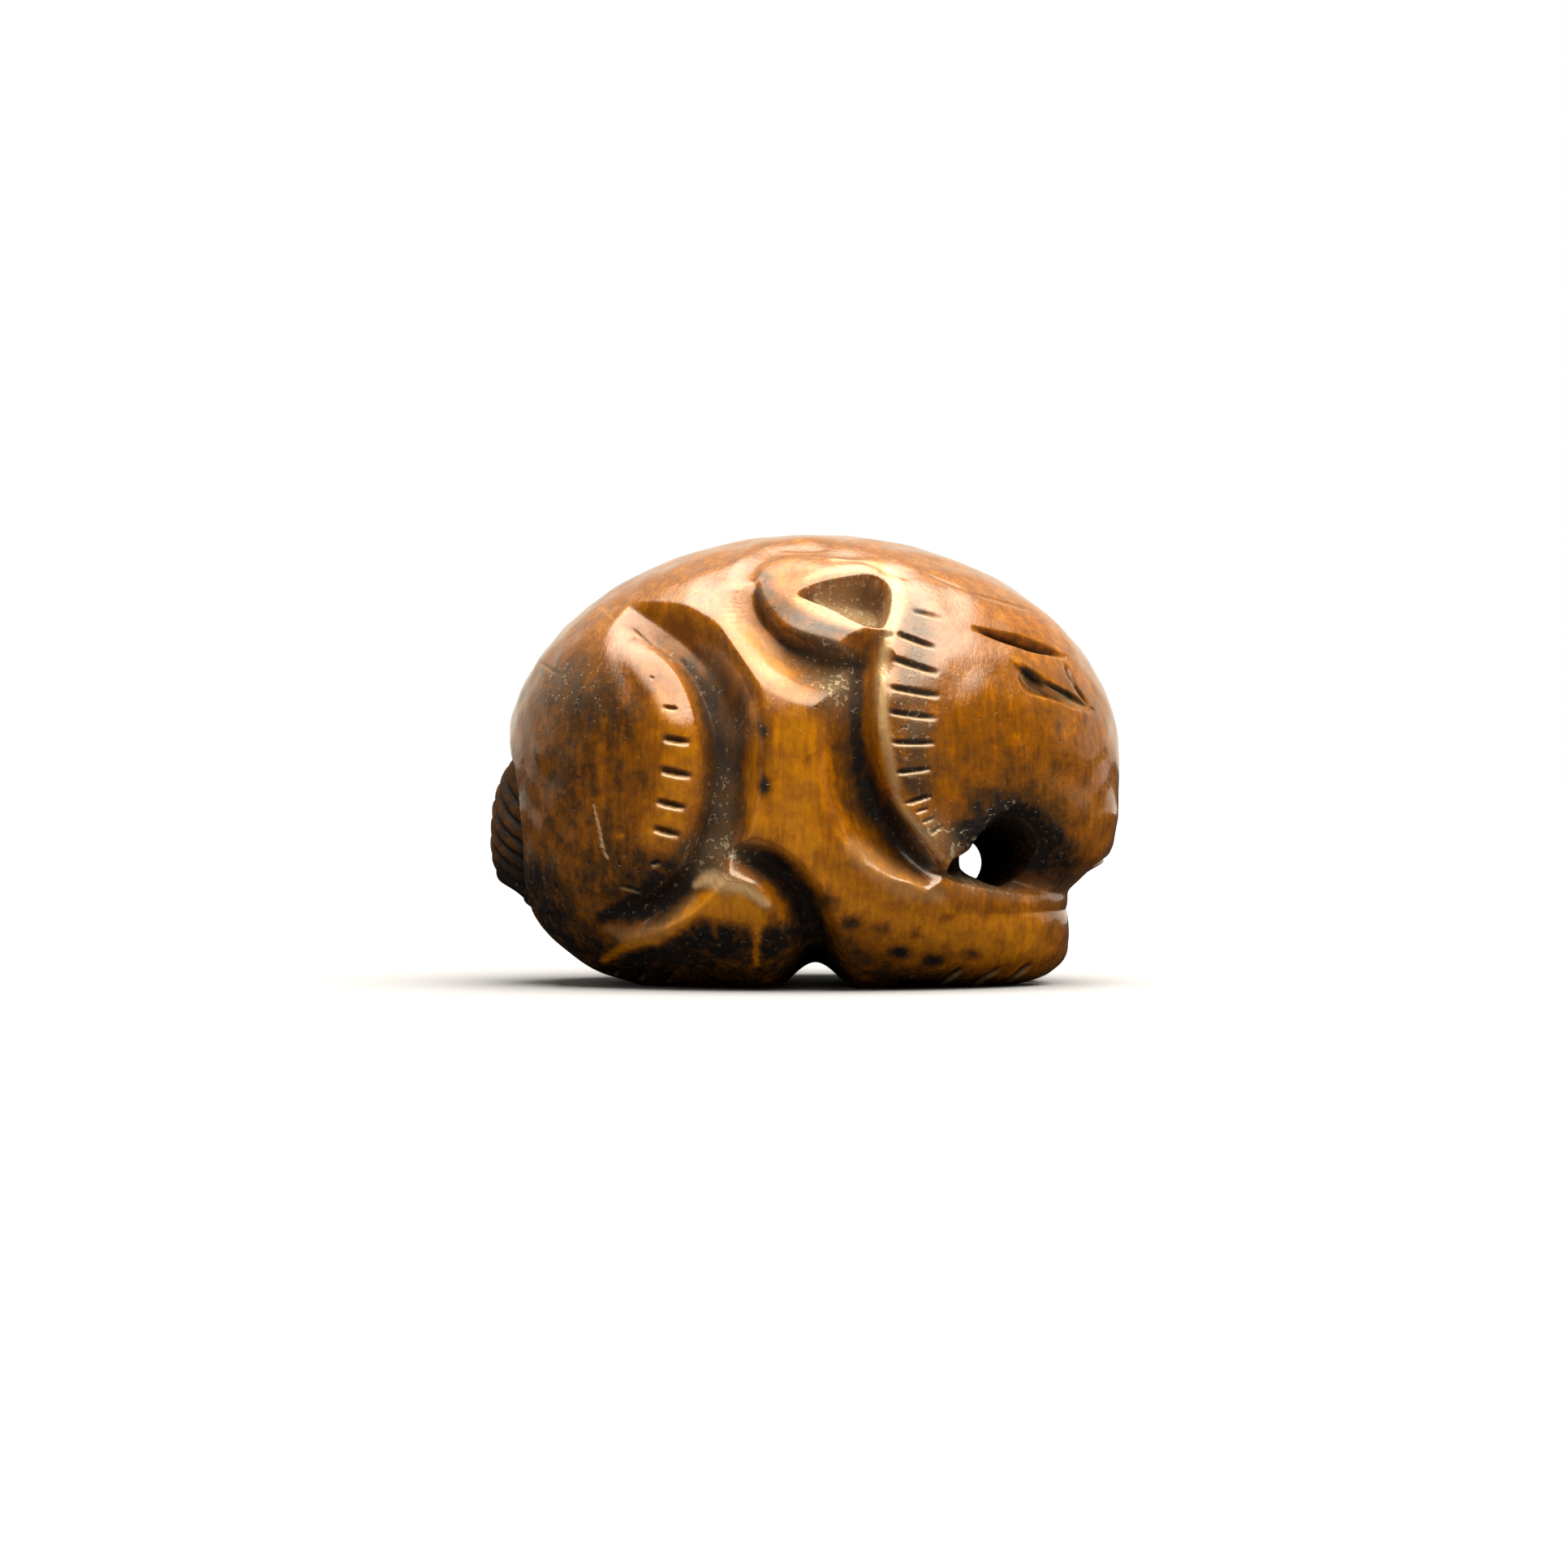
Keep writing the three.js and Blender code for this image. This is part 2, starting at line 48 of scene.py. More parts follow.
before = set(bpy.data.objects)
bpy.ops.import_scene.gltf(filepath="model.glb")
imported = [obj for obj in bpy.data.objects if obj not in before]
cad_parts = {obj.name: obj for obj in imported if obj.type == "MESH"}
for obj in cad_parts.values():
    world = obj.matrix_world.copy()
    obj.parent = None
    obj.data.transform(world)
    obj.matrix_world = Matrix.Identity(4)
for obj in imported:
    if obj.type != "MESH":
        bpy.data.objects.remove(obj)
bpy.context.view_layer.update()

NODE = "carved_rabbit"
BODY = "root"
MM = 0.001
CAD_LOW, CAD_HIGH = (np.array(corner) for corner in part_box(NODE))
CAD_SIZE = CAD_HIGH - CAD_LOW

# How much longer the tail makes the bead than its blank.
TAIL_STANDS_OUT = 0.804 * MM

# Below its middle the blank is drawn in. Rows of [up, reach of the nose end, reach of the rump end, reach
# of the flanks], in hundredths of the height and shares of the blank.
LOWER_TRIM = np.array([
    [0, 1.02, 0.89, 0.78], [2.1, 1.02, 0.92, 0.86], [5.7, 0.975, 0.933, 0.925], [9.2, 0.931, 0.945, 0.96],
    [12.8, 0.898, 0.974, 0.98], [16.5, 0.866, 0.992, 0.99], [20.1, 0.89, 0.995, 0.995],
    [23.7, 0.937, 0.998, 1], [27.4, 0.962, 1, 1], [30.9, 0.984, 1, 1], [37.4, 0.998, 1, 1], [50, 1, 1, 1],
])

# The blank is an ellipsoid above its middle and squarer below it.
UPPER_SQUARENESS = 2.0
LOWER_SQUARENESS = 4

# How sharply cuts that cross run into each other, how many steps a curve has between two control rows, and
# what keeps a division from failing at the tail's middle.
CROSSING = 6
CURVE_STEPS = 9
TINY = 1e-9

# Each cut follows a line of [along, up, depth, reach] over the flank: along in hundredths of the length
# from the middle towards the nose, and the rest in hundredths of the height. The form rolls over its bevel
# up to the line, drops at a crisp wall on the line's left or right, and rises again over its reach.
LEFT = 1
RIGHT = -1
WALLED_CUTS = {
    "haunch": dict(
        hand=LEFT, bevel=7.5, drop=2.4, curve=2, wall=2.6, floor=0.3,
        line=[
            [-31.5, 80.2, 0.3, 3], [-26.5, 75, 4.6, 9], [-22.3, 69.2, 6.6, 12], [-19.9, 62.3, 7.4, 13.5],
            [-18.5, 54.8, 7.8, 13], [-18.2, 47, 8, 12.5], [-19, 37, 8, 11.5], [-21.4, 27.8, 7.4, 8.5],
            [-26.3, 20.8, 5.6, 6.5], [-33.5, 14.6, 0.3, 3],
        ]),
    "neck": dict(
        hand=RIGHT, bevel=2, drop=1.2, curve=1, wall=3, floor=0.1,
        line=[
            [11.6, 77.3, 0.2, 3], [11.2, 73.3, 4.4, 7.5], [10.4, 66.3, 6.4, 10], [10, 56, 7.6, 12],
            [10.8, 47.4, 8.6, 12.5], [13, 40.2, 9.6, 12], [16.8, 32.4, 9.4, 9], [19.2, 27.8, 6, 5],
            [20.8, 24.3, 0.4, 3],
        ]),
    "chin": dict(
        hand=LEFT, bevel=4.5, drop=1.8, curve=2, wall=3, floor=0.2,
        line=[
            [20.2, 24.9, 0.4, 3], [22.4, 23.3, 9, 6], [25.4, 22.2, 15, 12], [30, 21.1, 15, 17],
            [34.5, 20.1, 9.5, 16], [38, 19.7, 4.6, 12], [41, 19.3, 3, 8], [47, 18.9, 2.6, 6],
        ]),
    "ear_undercut": dict(
        hand=RIGHT, bevel=2.2, drop=0.9, curve=2, wall=2, floor=0.1,
        line=[
            [-9.4, 88.2, 0.6, 4], [-8.1, 83.3, 3.4, 9], [-4.4, 77.8, 4.6, 11], [0.4, 74.7, 5, 12],
            [5.5, 73, 5, 11], [9, 73.4, 3.6, 7], [11.4, 75.3, 0.2, 3],
        ]),
    "ear_back": dict(
        hand=LEFT, bevel=0.8, drop=0.3, curve=2, wall=1.2, floor=0,
        line=[
            [-9.4, 88.2, 0.6, 4], [-8.2, 92.1, 1.2, 4], [-4, 94, 1.5, 4], [1.8, 94.2, 1.5, 4],
            [7.6, 92.9, 0.9, 4], [12.8, 89.8, 0.1, 3],
        ]),
    "eye": dict(
        hand=RIGHT, bevel=0.1, drop=0.1, curve=1, wall=0.9, floor=0,
        line=[[32.9, 69.4, 0.6, 2], [35.2, 67.3, 2.6, 3.6], [37.9, 65, 2, 1.8], [44.2, 61.3, 0.2, 1]]),
}

# Each groove follows a line of [along, up, depth, half width].
FOOT_GROOVE = [
    [-12.9, 29.6, 4.4, 4.5], [-7.2, 26.8, 7, 5.5], [-2.8, 20.5, 7.6, 6], [-0.5, 12.6, 7.6, 6.5],
    [0.4, 5.6, 7.6, 8], [0.3, -0.9, 7.8, 11.5], [0.3, -13, 7.8, 12.5],
]
BROW_CUT = [[25.3, 78, 0.4, 0.8], [32.8, 75.2, 2.4, 1.6], [40.3, 72.3, 0.4, 0.8]]

# The hollow of the ear, as an outline of [along, up]. Its depth grows over the span towards the head.
EAR_OUTLINE = [
    [-2.6, 85.2], [-0.2, 87.4], [4.3, 89.1], [9.5, 89.7], [11.9, 87.3], [12.2, 83.5], [11.1, 78.6],
    [9.6, 77.9], [6.3, 79.2], [2, 82.2],
]
EAR_WALL = 2.4
EAR_DEPTHS = (3, 8)
EAR_SPAN = (-3, 9)

# The tail in its sunk ring, the groove between the soles, and the mouth, the nose and the nostrils on both
# sides of the middle, as lines of [out, up]. Lengths are in hundredths of the height, apart from the change
# from the hind soles to the fore soles, in hundredths of the length. The ring reaches a share of the tail
# beyond it.
TAIL = dict(up=31.5, half_height=18.5, half_width=11, fullness=0.75, ring=4.4, reach=0.4, tip_share=0.3)
SOLE_GROOVE = dict(depth=6, hind=8, fore=3.4, top=17, fade=7, change=10)
FACE_CUTS = [
    dict(ends=[[0, 28.5], [9, 26.5]], depth=2.2, half_width=1.2),
    dict(ends=[[0, 28.5], [0, 36]], depth=1.8, half_width=1.1),
    dict(ends=[[2, 38], [5, 40.5]], depth=2, half_width=1.1),
]

# The two drillings of the cord channel meet behind the chin: [along, up] of their meeting, [along, up, out]
# of their mouths, with out in hundredths of half the width, and their overlap in millimetres.
CHANNEL_MIDDLE = (22.6, 26.7)
CHANNEL_MOUTH = (33, 30.4, 84)
CHANNEL_SIDES = 48
CHANNEL_OVERLAP = 0.6

# In millimetres from the carved surface: where the painted shade inside the channel starts, and how softly.
CHANNEL_STARTS = 0.05
CHANNEL_FADE = 0.3

# Knife strokes that only the fine piece has: [start, end, depth, half width], with places as [along, up].
# Each is deep in its middle and runs out at its ends, by the profile's [share of the length, share of the
# depth]. The halo, in half widths, is where the net is closer.
STROKE_PROFILE = [(0, 0.1), (0.15, 0.8), (0.35, 1), (0.65, 0.85), (0.88, 0.45), (1, 0)]
STROKE_HALO = 2.6
CHEEK_STROKES = [
    [[15.4, 81.9], [20.4, 80.0], 0.5, 0.7], [[12.9, 76.7], [19.3, 73.6], 0.85, 0.8],
    [[12.2, 71.3], [19.5, 67.9], 1.0, 0.85], [[11.7, 65.0], [19.7, 63.1], 1.0, 0.8],
    [[11.5, 59.8], [19.2, 58.4], 0.95, 0.75], [[11.9, 53.3], [19.0, 53.1], 0.9, 0.7],
    [[12.5, 46.8], [18.4, 47.7], 0.85, 0.65], [[13.9, 40.2], [18.4, 42.0], 0.8, 0.65],
    [[15.6, 38.4], [17.9, 39.3], 0.5, 0.5], [[16.6, 36.2], [18.9, 37.4], 0.5, 0.5],
    [[17.8, 33.6], [20.2, 35.8], 0.5, 0.55],
]
HAUNCH_STROKES = [
    [[-26.0, 67.6], [-25.1, 67.1], 0.3, 0.45], [[-23.6, 60.9], [-21.5, 60.6], 0.7, 0.6],
    [[-23.6, 54.2], [-19.6, 53.3], 1.1, 1.0], [[-24.0, 47.4], [-19.3, 46.0], 1.2, 1.05],
    [[-24.7, 40.8], [-20.2, 39.2], 1.15, 1.0], [[-25.3, 35.1], [-21.1, 33.3], 1.1, 1.0],
    [[-25.8, 27.2], [-24.2, 27.9], 0.7, 0.8], [[-30.7, 22.8], [-27.6, 21.2], 0.5, 0.6],
]
FACE_STROKES = [
    [[25.5, 78.0], [40.2, 72.3], 0.6, 0.65], [[32.6, 69.7], [37.4, 65.4], 1.0, 1.0],
    [[35.4, 67.1], [44.1, 61.3], 0.9, 0.75], [[40.2, 70.6], [41.5, 65.8], 0.5, 0.6],
    [[41.4, 66.2], [44.1, 61.2], 0.55, 0.6], [[17.2, 90.5], [25.7, 85.6], 0.16, 0.5],
    [[25.4, 85.8], [35.7, 82.4], 0.2, 0.45],
]
FOOT_STROKES = [
    [[20.0, 0.6], [23.6, 4.8], 0.9, 0.75], [[25.4, 0.4], [29.8, 4.7], 0.95, 0.75],
    [[31.0, 0.8], [34.9, 5.4], 0.9, 0.75], [[-32.2, 2.2], [-31.5, 4.4], 0.8, 0.7],
    [[-27.8, 1.6], [-27.2, 4.0], 0.8, 0.7], [[-23.3, 1.2], [-22.8, 3.6], 0.8, 0.7],
]
NICKS = [
    [[-44.4, 71.6], [-40.2, 68.0], 0.2, 0.5], [[-5.2, 96.7], [2.4, 96.8], 0.16, 0.4],
    [[-29.8, 79.6], [-26.2, 75.9], 0.3, 0.5], [[-34.7, 40.2], [-32.3, 28], 0.1, 0.4],
]
STROKES = [*CHEEK_STROKES, *HAUNCH_STROKES, *FACE_STROKES, *FOOT_STROKES, *NICKS]

# In hundredths of the height: the depth at which a stroke's painted shade is full, how far it is shifted
# up, and how far below a stroke the painted highlight of its lip lies. The lip's share is how pale it is at
# most.
STROKE_DARK = 0.65
STROKE_SHIFT = 0.1625
STROKE_LIP = 0.5
LIP_SHARE = 0.6

# The hair of the tail is cut in even steps that slope down to both sides, and fades out at the tail's edge.
HAIR = dict(step=3.8, slope=1.1, depth=1.1, fade=8)

# The hand's unevenness is a sum of ripples, each with its waves in a length, a width and a height.
RIPPLES = [
    [5.1, 3.2, 7.3], [-8.3, 4.4, 5.9], [3.7, -9.1, -6.7], [10.9, 6.1, -3.3], [-5.3, -7.9, 11.3],
    [13.1, -3.7, 8.9], [-12.7, 9.7, -10.3],
]

# How closely the net follows the carving: the detail that it starts with, how often it is divided, how near
# a stroke it is finest, as a share of the halo, and in millimetres how far it may stray and how long its
# edges are.
FIRST_DETAIL = 6
ROUNDS = 9
STROKE_NEAR = 0.5
FINE_ERROR = 0.0022
SHORTEST_EDGE = 0.05
LONGEST_EDGE = 0.42
STROKE_EDGE = 0.055
TAIL_EDGE = 0.1

# The map of the flank's depth, in millimetres: its step, its margin, and how far it is blurred to find
# hollows and edges. Places are kept clear of its last rows, by a number of steps.
MAP_STEP = 0.06
MAP_MARGIN = 1.2
HOLLOW_BLUR = 1.0
EDGE_BLUR = 0.25
LAST_CELL = 1.001

# In millimetres: how far below the blurred map a hollow counts fully, how far above it an edge does, and
# how deep the tail's ring does. Each millimetre of depth adds a little to a hollow.
FULL_HOLLOW = 0.55
FULL_EDGE = 0.14
FULL_RING = 0.7
HOLLOW_PER_DEPTH = 0.16

# How much of the stains and painted shade gold wood clears away, the most of them, and where the tail's
# colour ends and how softly, as shares of the tail's ellipse.
GOLD_CLEARS = 0.85
MOST_STAIN_AND_SHADE = 1.4
TAIL_COLOUR_ENDS = 1.25
TAIL_COLOUR_FADE = 0.15

# The finish. The masks are stored on the piece, and the patterns are worked out in the material.
MASKS = ("hollow", "edge", "stroke", "stain_and_shade", "gold", "wear_and_highlight", "dust", "dull", "tail", "hair", "channel")
PATTERNS = ("fine grain", "broad grain", "large mottle", "small mottle")
PATTERN_MIDDLE = 0.5
GRAIN_TURN = (0.1, 0.06, 0)
GRAIN_STRETCH = (1, 1, 0.14)

# Specks of dirt in the wood and crumbs on it: how rare they are, how many lie everywhere and how many at
# most, and with which masks there are more.
SPECKS_PER_AMOUNT = 0.16
SPECK_EDGE = 0.05
SPECKS = {
    "pits": dict(scale=2300.0, rarity=0.74, everywhere=0.12, most=1.1, more={"stain_and_shade": 0.7}),
    "crumbs": dict(scale=4000.0, rarity=0.69, everywhere=0.06, most=1.0, more={"dust": 1.5, "stain_and_shade": 0.2}),
}
CRUMB_COVER = 0.8

# Which pattern breaks up a mask, and how much of the mask is left at the pattern's two ends.
PATCHY = {
    "stain_and_shade": ("small mottle", 0.6, 1.4), "gold": ("broad grain", 0.5, 1.3),
    "dust": ("small mottle", 0.5, 1.1), "wear_and_highlight": ("small mottle", 0.75, 1.1),
}

# Where each tone lies on the scale of darkness, how dark plain wood is, and what makes it darker or paler:
# stains, grain, mottle, specks, the tail, and painted shade in the hollows, strokes, channel and hair cuts.
TONE_PLACES = {"honey": 0.0, "amber": 0.34, "umber": 0.66, "shade_and_soot": 1.0}
BARE_DARKNESS = 0.34
DARKENING = {
    "stain_and_shade": 0.62, "sunk": 0.22, "broad grain": 0.15, "fine grain": 0.18, "large mottle": 0.14,
    "small mottle": 0.25, "gold": -0.34, "edge": -0.06, "stroke": 0.62, "channel": 0.6, "tail": 0.12,
    "hair": 0.45, "pits": 0.45,
}

# What takes the polish away, how rough that makes the wood, and how much shine and coat polished and matte
# wood have. The relief's height is in metres.
MATTING = {
    "stroke": 1.0, "channel": 1.0, "sunk": 0.45, "dust": 0.4, "stain_and_shade": 0.25, "dull": 0.6, "tail": 0.35,
}
POLISHED_ROUGHNESS = 0.08
ROUGHENING = {"matte": 0.55, "small mottle": 0.15, "fine grain": 0.06}
SHINE = (0.6, 0.08)
COAT = (0.9, 0)
COAT_ENDS = 0.8
RELIEF = {"fine grain": 0.4, "small mottle": 0.5, "pits": -1.2, "crumbs": 1.6, "broad grain": 0.3}
RELIEF_HEIGHT = 0.03 * MM

# The stage: where the lamp stands, how wide and how warm it is, where the polish mirrors its window and how
# soft the window's edge is, how far the room fades from front to back, the room's tint, and the camera's
# place and reach.
WINDOW_TOWARDS = (0.25, -0.12, 0.95)
WINDOW_ANGLE = 1.2
WINDOW_TINT = (1, 0.975, 0.94)
WINDOW_SEEN = (0, -0.3, 0.954)
WINDOW_CORE = 0.88
WINDOW_EDGE = 0.64
ROOM_FADE = (-0.3, 0.9)
ROOM_TINT = (1, 0.97, 0.93, 1)
CAMERA_ALONG = -0.985 * MM
CAMERA_UP = 9.465 * MM
NEAREST_SEEN = 1 * MM
FARTHEST_SEEN = 100
BLACK = (0, 0, 0, 1)
WHITE = (1, 1, 1, 1)

# Strips of colour on the flank. Each has a strength and follows a line of [along, up, half width]. It fades
# out over the soft number of half widths, and a small core keeps its full strength.
STRIP_CORE = 0.1
STRIP_SOFT = 1.6
# Darker strips: mostly painted shade in hollows, grooves, the ear and the underside; some are stains.
STAIN_AND_SHADE_STRIPS = {
    "haunch hollow": (0.42, [
        [-17.6, 70, 1.6], [-15.6, 66.5, 3.6], [-13.8, 61.9, 5.4], [-12.7, 54.9, 5.5], [-13, 47.3, 5],
        [-13.5, 40.3, 5], [-15.5, 33, 5], [-19.6, 25.6, 4], [-24.9, 20.3, 3.5], [-32, 15, 1.5],
    ]),
    "haunch shadow": (0.6, [
        [-22, 74, 0.5], [-19, 68.6, 1.4], [-17.4, 64, 2.2], [-16.2, 58, 2.4], [-15.8, 50, 2.4],
        [-16.3, 41, 2.6], [-18, 32, 3], [-21.5, 25.5, 2.5], [-26, 19.6, 2], [-32, 15.4, 1],
    ]),
    "hollow end": (0.3, [
        [-12.4, 64, 0.8], [-9.6, 58, 1.2], [-8.6, 54.5, 1.4], [-8.4, 48, 0.8], [-8.2, 44, 1.3],
    ]),
    "neck hollow": (0.95, [
        [7, 73, 1], [6.8, 70, 1.3], [7, 63.9, 1.5], [7, 57.8, 1.5], [7.4, 51.5, 1.6],
        [8.2, 45.7, 2], [10.2, 40.1, 2.6], [14, 34.5, 2.8], [17.2, 29.4, 2.4], [20.6, 25.2, 1],
    ]),
    "neck smoke": (0.3, [[4.6, 76, 3], [4.4, 68, 3.6], [4.2, 60, 3], [4.6, 50, 2.6], [6, 40, 2.4]]),
    "ear shadow": (0.75, [
        [-9.2, 87, 0.7], [-8.4, 83, 1.2], [-5.4, 78.2, 1.6], [-0.5, 75.2, 2], [4.9, 72.6, 2.2],
        [8, 72.4, 1.8],
    ]),
    "ear cup": (0.4, [[-1, 86.6, 0.6], [3, 88.4, 1.1], [8, 89, 1.2], [10.6, 87, 0.8]]),
    "ear lobe": (0.7, [[-8, 89, 1.6], [-6.6, 84.6, 2.2], [-3, 80, 1.8], [1, 78.2, 1.4], [5, 76.6, 1]]),
    "cheek ground": (0.52, [
        [15.6, 83, 1.2], [16, 77.5, 3.2], [15.6, 71, 3.8], [15.4, 64, 4], [15.3, 57, 4], [15.3, 50, 3.6],
        [15.8, 44, 2.8],
    ]),
    "foot groove": (0.75, [
        [-13.6, 29.8, 2.6], [-7.6, 27.2, 3.4], [-3, 21, 3.6], [-0.8, 12.6, 4.4], [0.2, 5.6, 5.6],
        [0.3, -1, 8],
    ]),
    "soles": (0.85, [
        [-46, 24, 5], [-41, 12, 6], [-34, 5, 6], [-27, 5, 5], [-20, 8, 8], [-13, 8.4, 7.5], [-5, 9, 6],
    ]),
    "foot shadow": (1.1, [
        [-30, 4, 3], [-25, 6.6, 4], [-19, 10, 4.5], [-14, 11, 4.5], [-9, 10.4, 4.5], [-4.6, 11, 4],
    ]),
    "under arm": (0.5, [[0, 13, 3.6], [6, 7, 3.6], [12, 2.5, 3.4], [20, 0, 1.8], [30, -0.6, 1.4]]),
    "crescent": (1.2, [[-33.6, 15.6, 1.2], [-29.6, 17, 2.4], [-25.2, 20, 3], [-21.6, 25, 3]]),
    "chin": (0.7, [[23, 33, 3], [27, 36, 4.5], [32, 36, 5], [37, 32, 5], [41, 25, 3.5]]),
}
GOLD_STRIPS = {
    "shoulder": (0.62, [
        [-9, 76, 3.4], [-4.6, 66, 4], [-2.6, 57, 4.4], [-2.6, 47.2, 4.8], [-2.6, 36, 4.6], [1.5, 26, 4],
        [7.6, 18.6, 4], [14.6, 14, 4.5], [25, 12.5, 5], [34.3, 12.1, 5.5],
    ]),
    "hollow side": (0.75, [[-9.6, 62, 1.2], [-9.9, 52, 2.2], [-9.9, 42, 2.6], [-8.5, 35, 2]]),
    "foot arch": (1.25, [
        [-34, 5.6, 0.6], [-29.6, 9.4, 1.1], [-24.3, 11.6, 1.3], [-20.8, 15, 1.6], [-18.4, 18.4, 2],
        [-14.4, 18, 2.8], [-9.6, 16.2, 2.4], [-9, 13, 1.2], [-9.1, 10, 0.8], [-9.1, 6, 0.7],
    ]),
    "foot streaks": (0.6, [[-16.6, 19, 1.2], [-15.6, 14, 0.7], [-15.4, 11, 0.4]]),
    "haunch side": (0.7, [[-24, 62, 3], [-22, 54, 4], [-21.5, 46, 4.5], [-23, 38, 4], [-26, 33, 3]]),
    "haunch streak": (0.35, [[-33, 58, 0.8], [-33.5, 48, 1], [-33, 40, 0.8]]),
    "cheek tip": (0.5, [[14.6, 40, 1.4], [16.8, 35, 1.6], [20.6, 28, 1.3]]),
    "neck wall": (0.5, [[9.8, 74, 1], [9.2, 67, 1.3], [8.9, 60, 1.5], [9.3, 52, 1.3], [11, 44, 1]]),
}
# Paler strips: worn places and a scratch, and painted highlights on the tops of the foot, shoulder and arm.
WEAR_AND_HIGHLIGHT_STRIPS = {
    "cheek edge": (0.95, [
        [3, 93.4, 0.4], [8.4, 93.2, 0.7], [11.4, 91.4, 1], [12.8, 88.2, 1.4], [12.9, 83.5, 1.4],
        [12.3, 79, 1.2], [11.4, 73.9, 1.05], [10.8, 68.5, 1], [10.6, 62.5, 0.95], [10.8, 56.6, 0.85],
    ]),
    "cheek edge below": (0.5, [
        [10.7, 58, 1], [11.4, 51.2, 0.9], [12.3, 45.7, 0.8], [13.6, 40, 0.7], [17, 34, 0.6],
        [20, 28.8, 0.5],
    ]),
    "ear lip": (0.75, [[-2.6, 84, 0.7], [0.6, 81.9, 1.2], [4, 80, 1.3], [7, 78.2, 0.8]]),
    "ear rim": (0.6, [[-1.4, 88.6, 0.5], [2, 90.4, 0.7], [6, 91.2, 0.7], [9.8, 91, 0.6]]),
    "scratch": (0.9, [[-34.6, 39.8, 0.1], [-33.8, 35, 0.22], [-33.2, 31, 0.2], [-32.4, 28.4, 0.1]]),
    "foot top": (0.85, [
        [-20, 21.8, 0.8], [-17.6, 23.6, 1.5], [-13.8, 23, 1.5], [-10.4, 21.9, 1.1], [-7.4, 18.8, 0.7],
    ]),
    "crescent lip": (0.16, [
        [-33, 13, 0.5], [-30.2, 11.6, 1.2], [-26, 12, 1.4], [-23, 14.4, 1.6], [-19.6, 19, 1.4],
    ]),
    "ear cup": (0.34, [[1, 86, 1.5], [5, 85.5, 3.5], [9, 85, 3], [10.6, 81, 2]]),
    "shoulder top": (0.3, [[-13, 81, 2], [-9, 75, 3], [-6, 69, 2.6]]),
    "arm top": (0.22, [[6, 31, 2], [10, 26.6, 2.6], [14.6, 22.8, 2.6], [19.6, 20.6, 1.4]]),
}

# Patches of colour on the flank: [along, up, half along, half up, strength].
# Darker patches: stains and specks, and painted shade low on the haunch, under the forearm and at the chin.
STAIN_AND_SHADE_PATCHES = [
    # On the haunch.
    [-40, 67, 8, 5, 0.42], [-34, 61, 7, 5, 0.36], [-40, 44, 6, 16, 0.2], [-28, 29, 7, 6, 0.3],
    [-33, 22, 10, 7, 0.4], [-36, 46, 13, 22, 0.3], [-28.5, 46.5, 2.2, 2.2, 0.25],
    [-25.5, 44.5, 1.6, 2.6, 0.25], [-13, 75, 4, 3, 0.2],
    # On the shoulder, and specks at the end of the hollow.
    [1, 65, 6.5, 4, 0.4], [-8.4, 56, 1.6, 1.6, 1.1], [-10.4, 58, 1.2, 1.2, 0.8], [-9, 48.6, 0.9, 1, 0.7],
    [-8, 44, 1.2, 1.9, 1.2], [-0.3, 60.6, 1.5, 1.2, 0.9], [-1, 50, 0.6, 0.8, 0.5],
    [3.4, 52, 0.5, 0.7, 0.5],
    # On the forearm.
    [10.8, 13.6, 1.2, 1.3, 1.3], [13.4, 8.6, 1.5, 1.2, 1.4], [15.9, 12.4, 0.9, 1.3, 1.1],
    [18.6, 6.6, 1.5, 1.2, 1.4], [21, 16, 0.7, 0.8, 0.9], [25, 8, 1.4, 1.1, 1.2], [29, 10.4, 0.9, 0.8, 1],
    [2.1, 19.7, 1.2, 1.5, 1.1], [6, 15, 1.2, 1.3, 1.2], [38, 13, 2, 5, 0.3], [20, 2, 10, 2.4, 0.5],
    # In the ear, and on the cheek and the chin.
    [8.4, 86.5, 0.5, 3, 0.5], [28, 52, 13, 15, 0.16], [30, 42, 9, 6, 0.2], [40, 50, 5, 12, 0.15],
    [34, 78, 8, 5, 0.12], [31, 30.5, 7, 8.5, 1.3],
]
GOLD_PATCHES = [
    [-12, 79, 6, 4, 0.35], [-12.4, 70, 2.4, 4.5, 0.5], [-2, 84, 8, 8, 0.2], [-30.5, 33.4, 0.7, 0.9, 1],
    [30, 9, 8, 4, 0.3],
]
DULL_PATCHES = [
    [-5, 84, 5, 6, 0.7], [-2, 90, 7, 2.4, 0.5], [0, 74, 7, 3, 0.5], [2, 67, 8, 4.5, 0.8],
    [-12, 73, 5, 8, 0.3], [33, 78, 8, 5, 0.7], [7.4, 56, 1.6, 14, 0.8], [-26, 66, 7, 9, 0.45],
]
DUST_PATCHES = [
    [-17, 70, 4, 6, 0.3], [-12.5, 57, 4, 4, 0.3], [-15.5, 40, 3, 9, 0.3], [-15.5, 29, 5, 4, 0.55],
    [5, 85, 7, 4, 1], [11, 80, 1.6, 6, 0.5], [4, 68, 2.4, 8, 0.3], [-14.5, 24, 5, 2, 0.3],
    [18.5, 34.5, 2.4, 3.5, 0.7], [21.6, 29.6, 1.2, 3, 0.7], [26, 22.8, 2, 1, 0.6], [31, 21.5, 9, 1.6, 0.4],
    [-40, 67, 6, 5, 0.25], [-24, 74, 2, 3, 0.4], [15.5, 62, 3, 16, 0.3], [1, 66, 6.5, 4.5, 0.5],
    [-2, 73, 5, 2, 0.3],
]


def clamp01(values):
    return np.clip(values, 0, 1)


def smooth(values):
    """Values that run softly from 0 to 1."""
    values = clamp01(values)
    return values ** 2 * (3 - 2 * values)


def unit(vectors):
    """Vectors brought to length 1."""
    return vectors / np.linalg.norm(vectors, axis=1)[:, None]


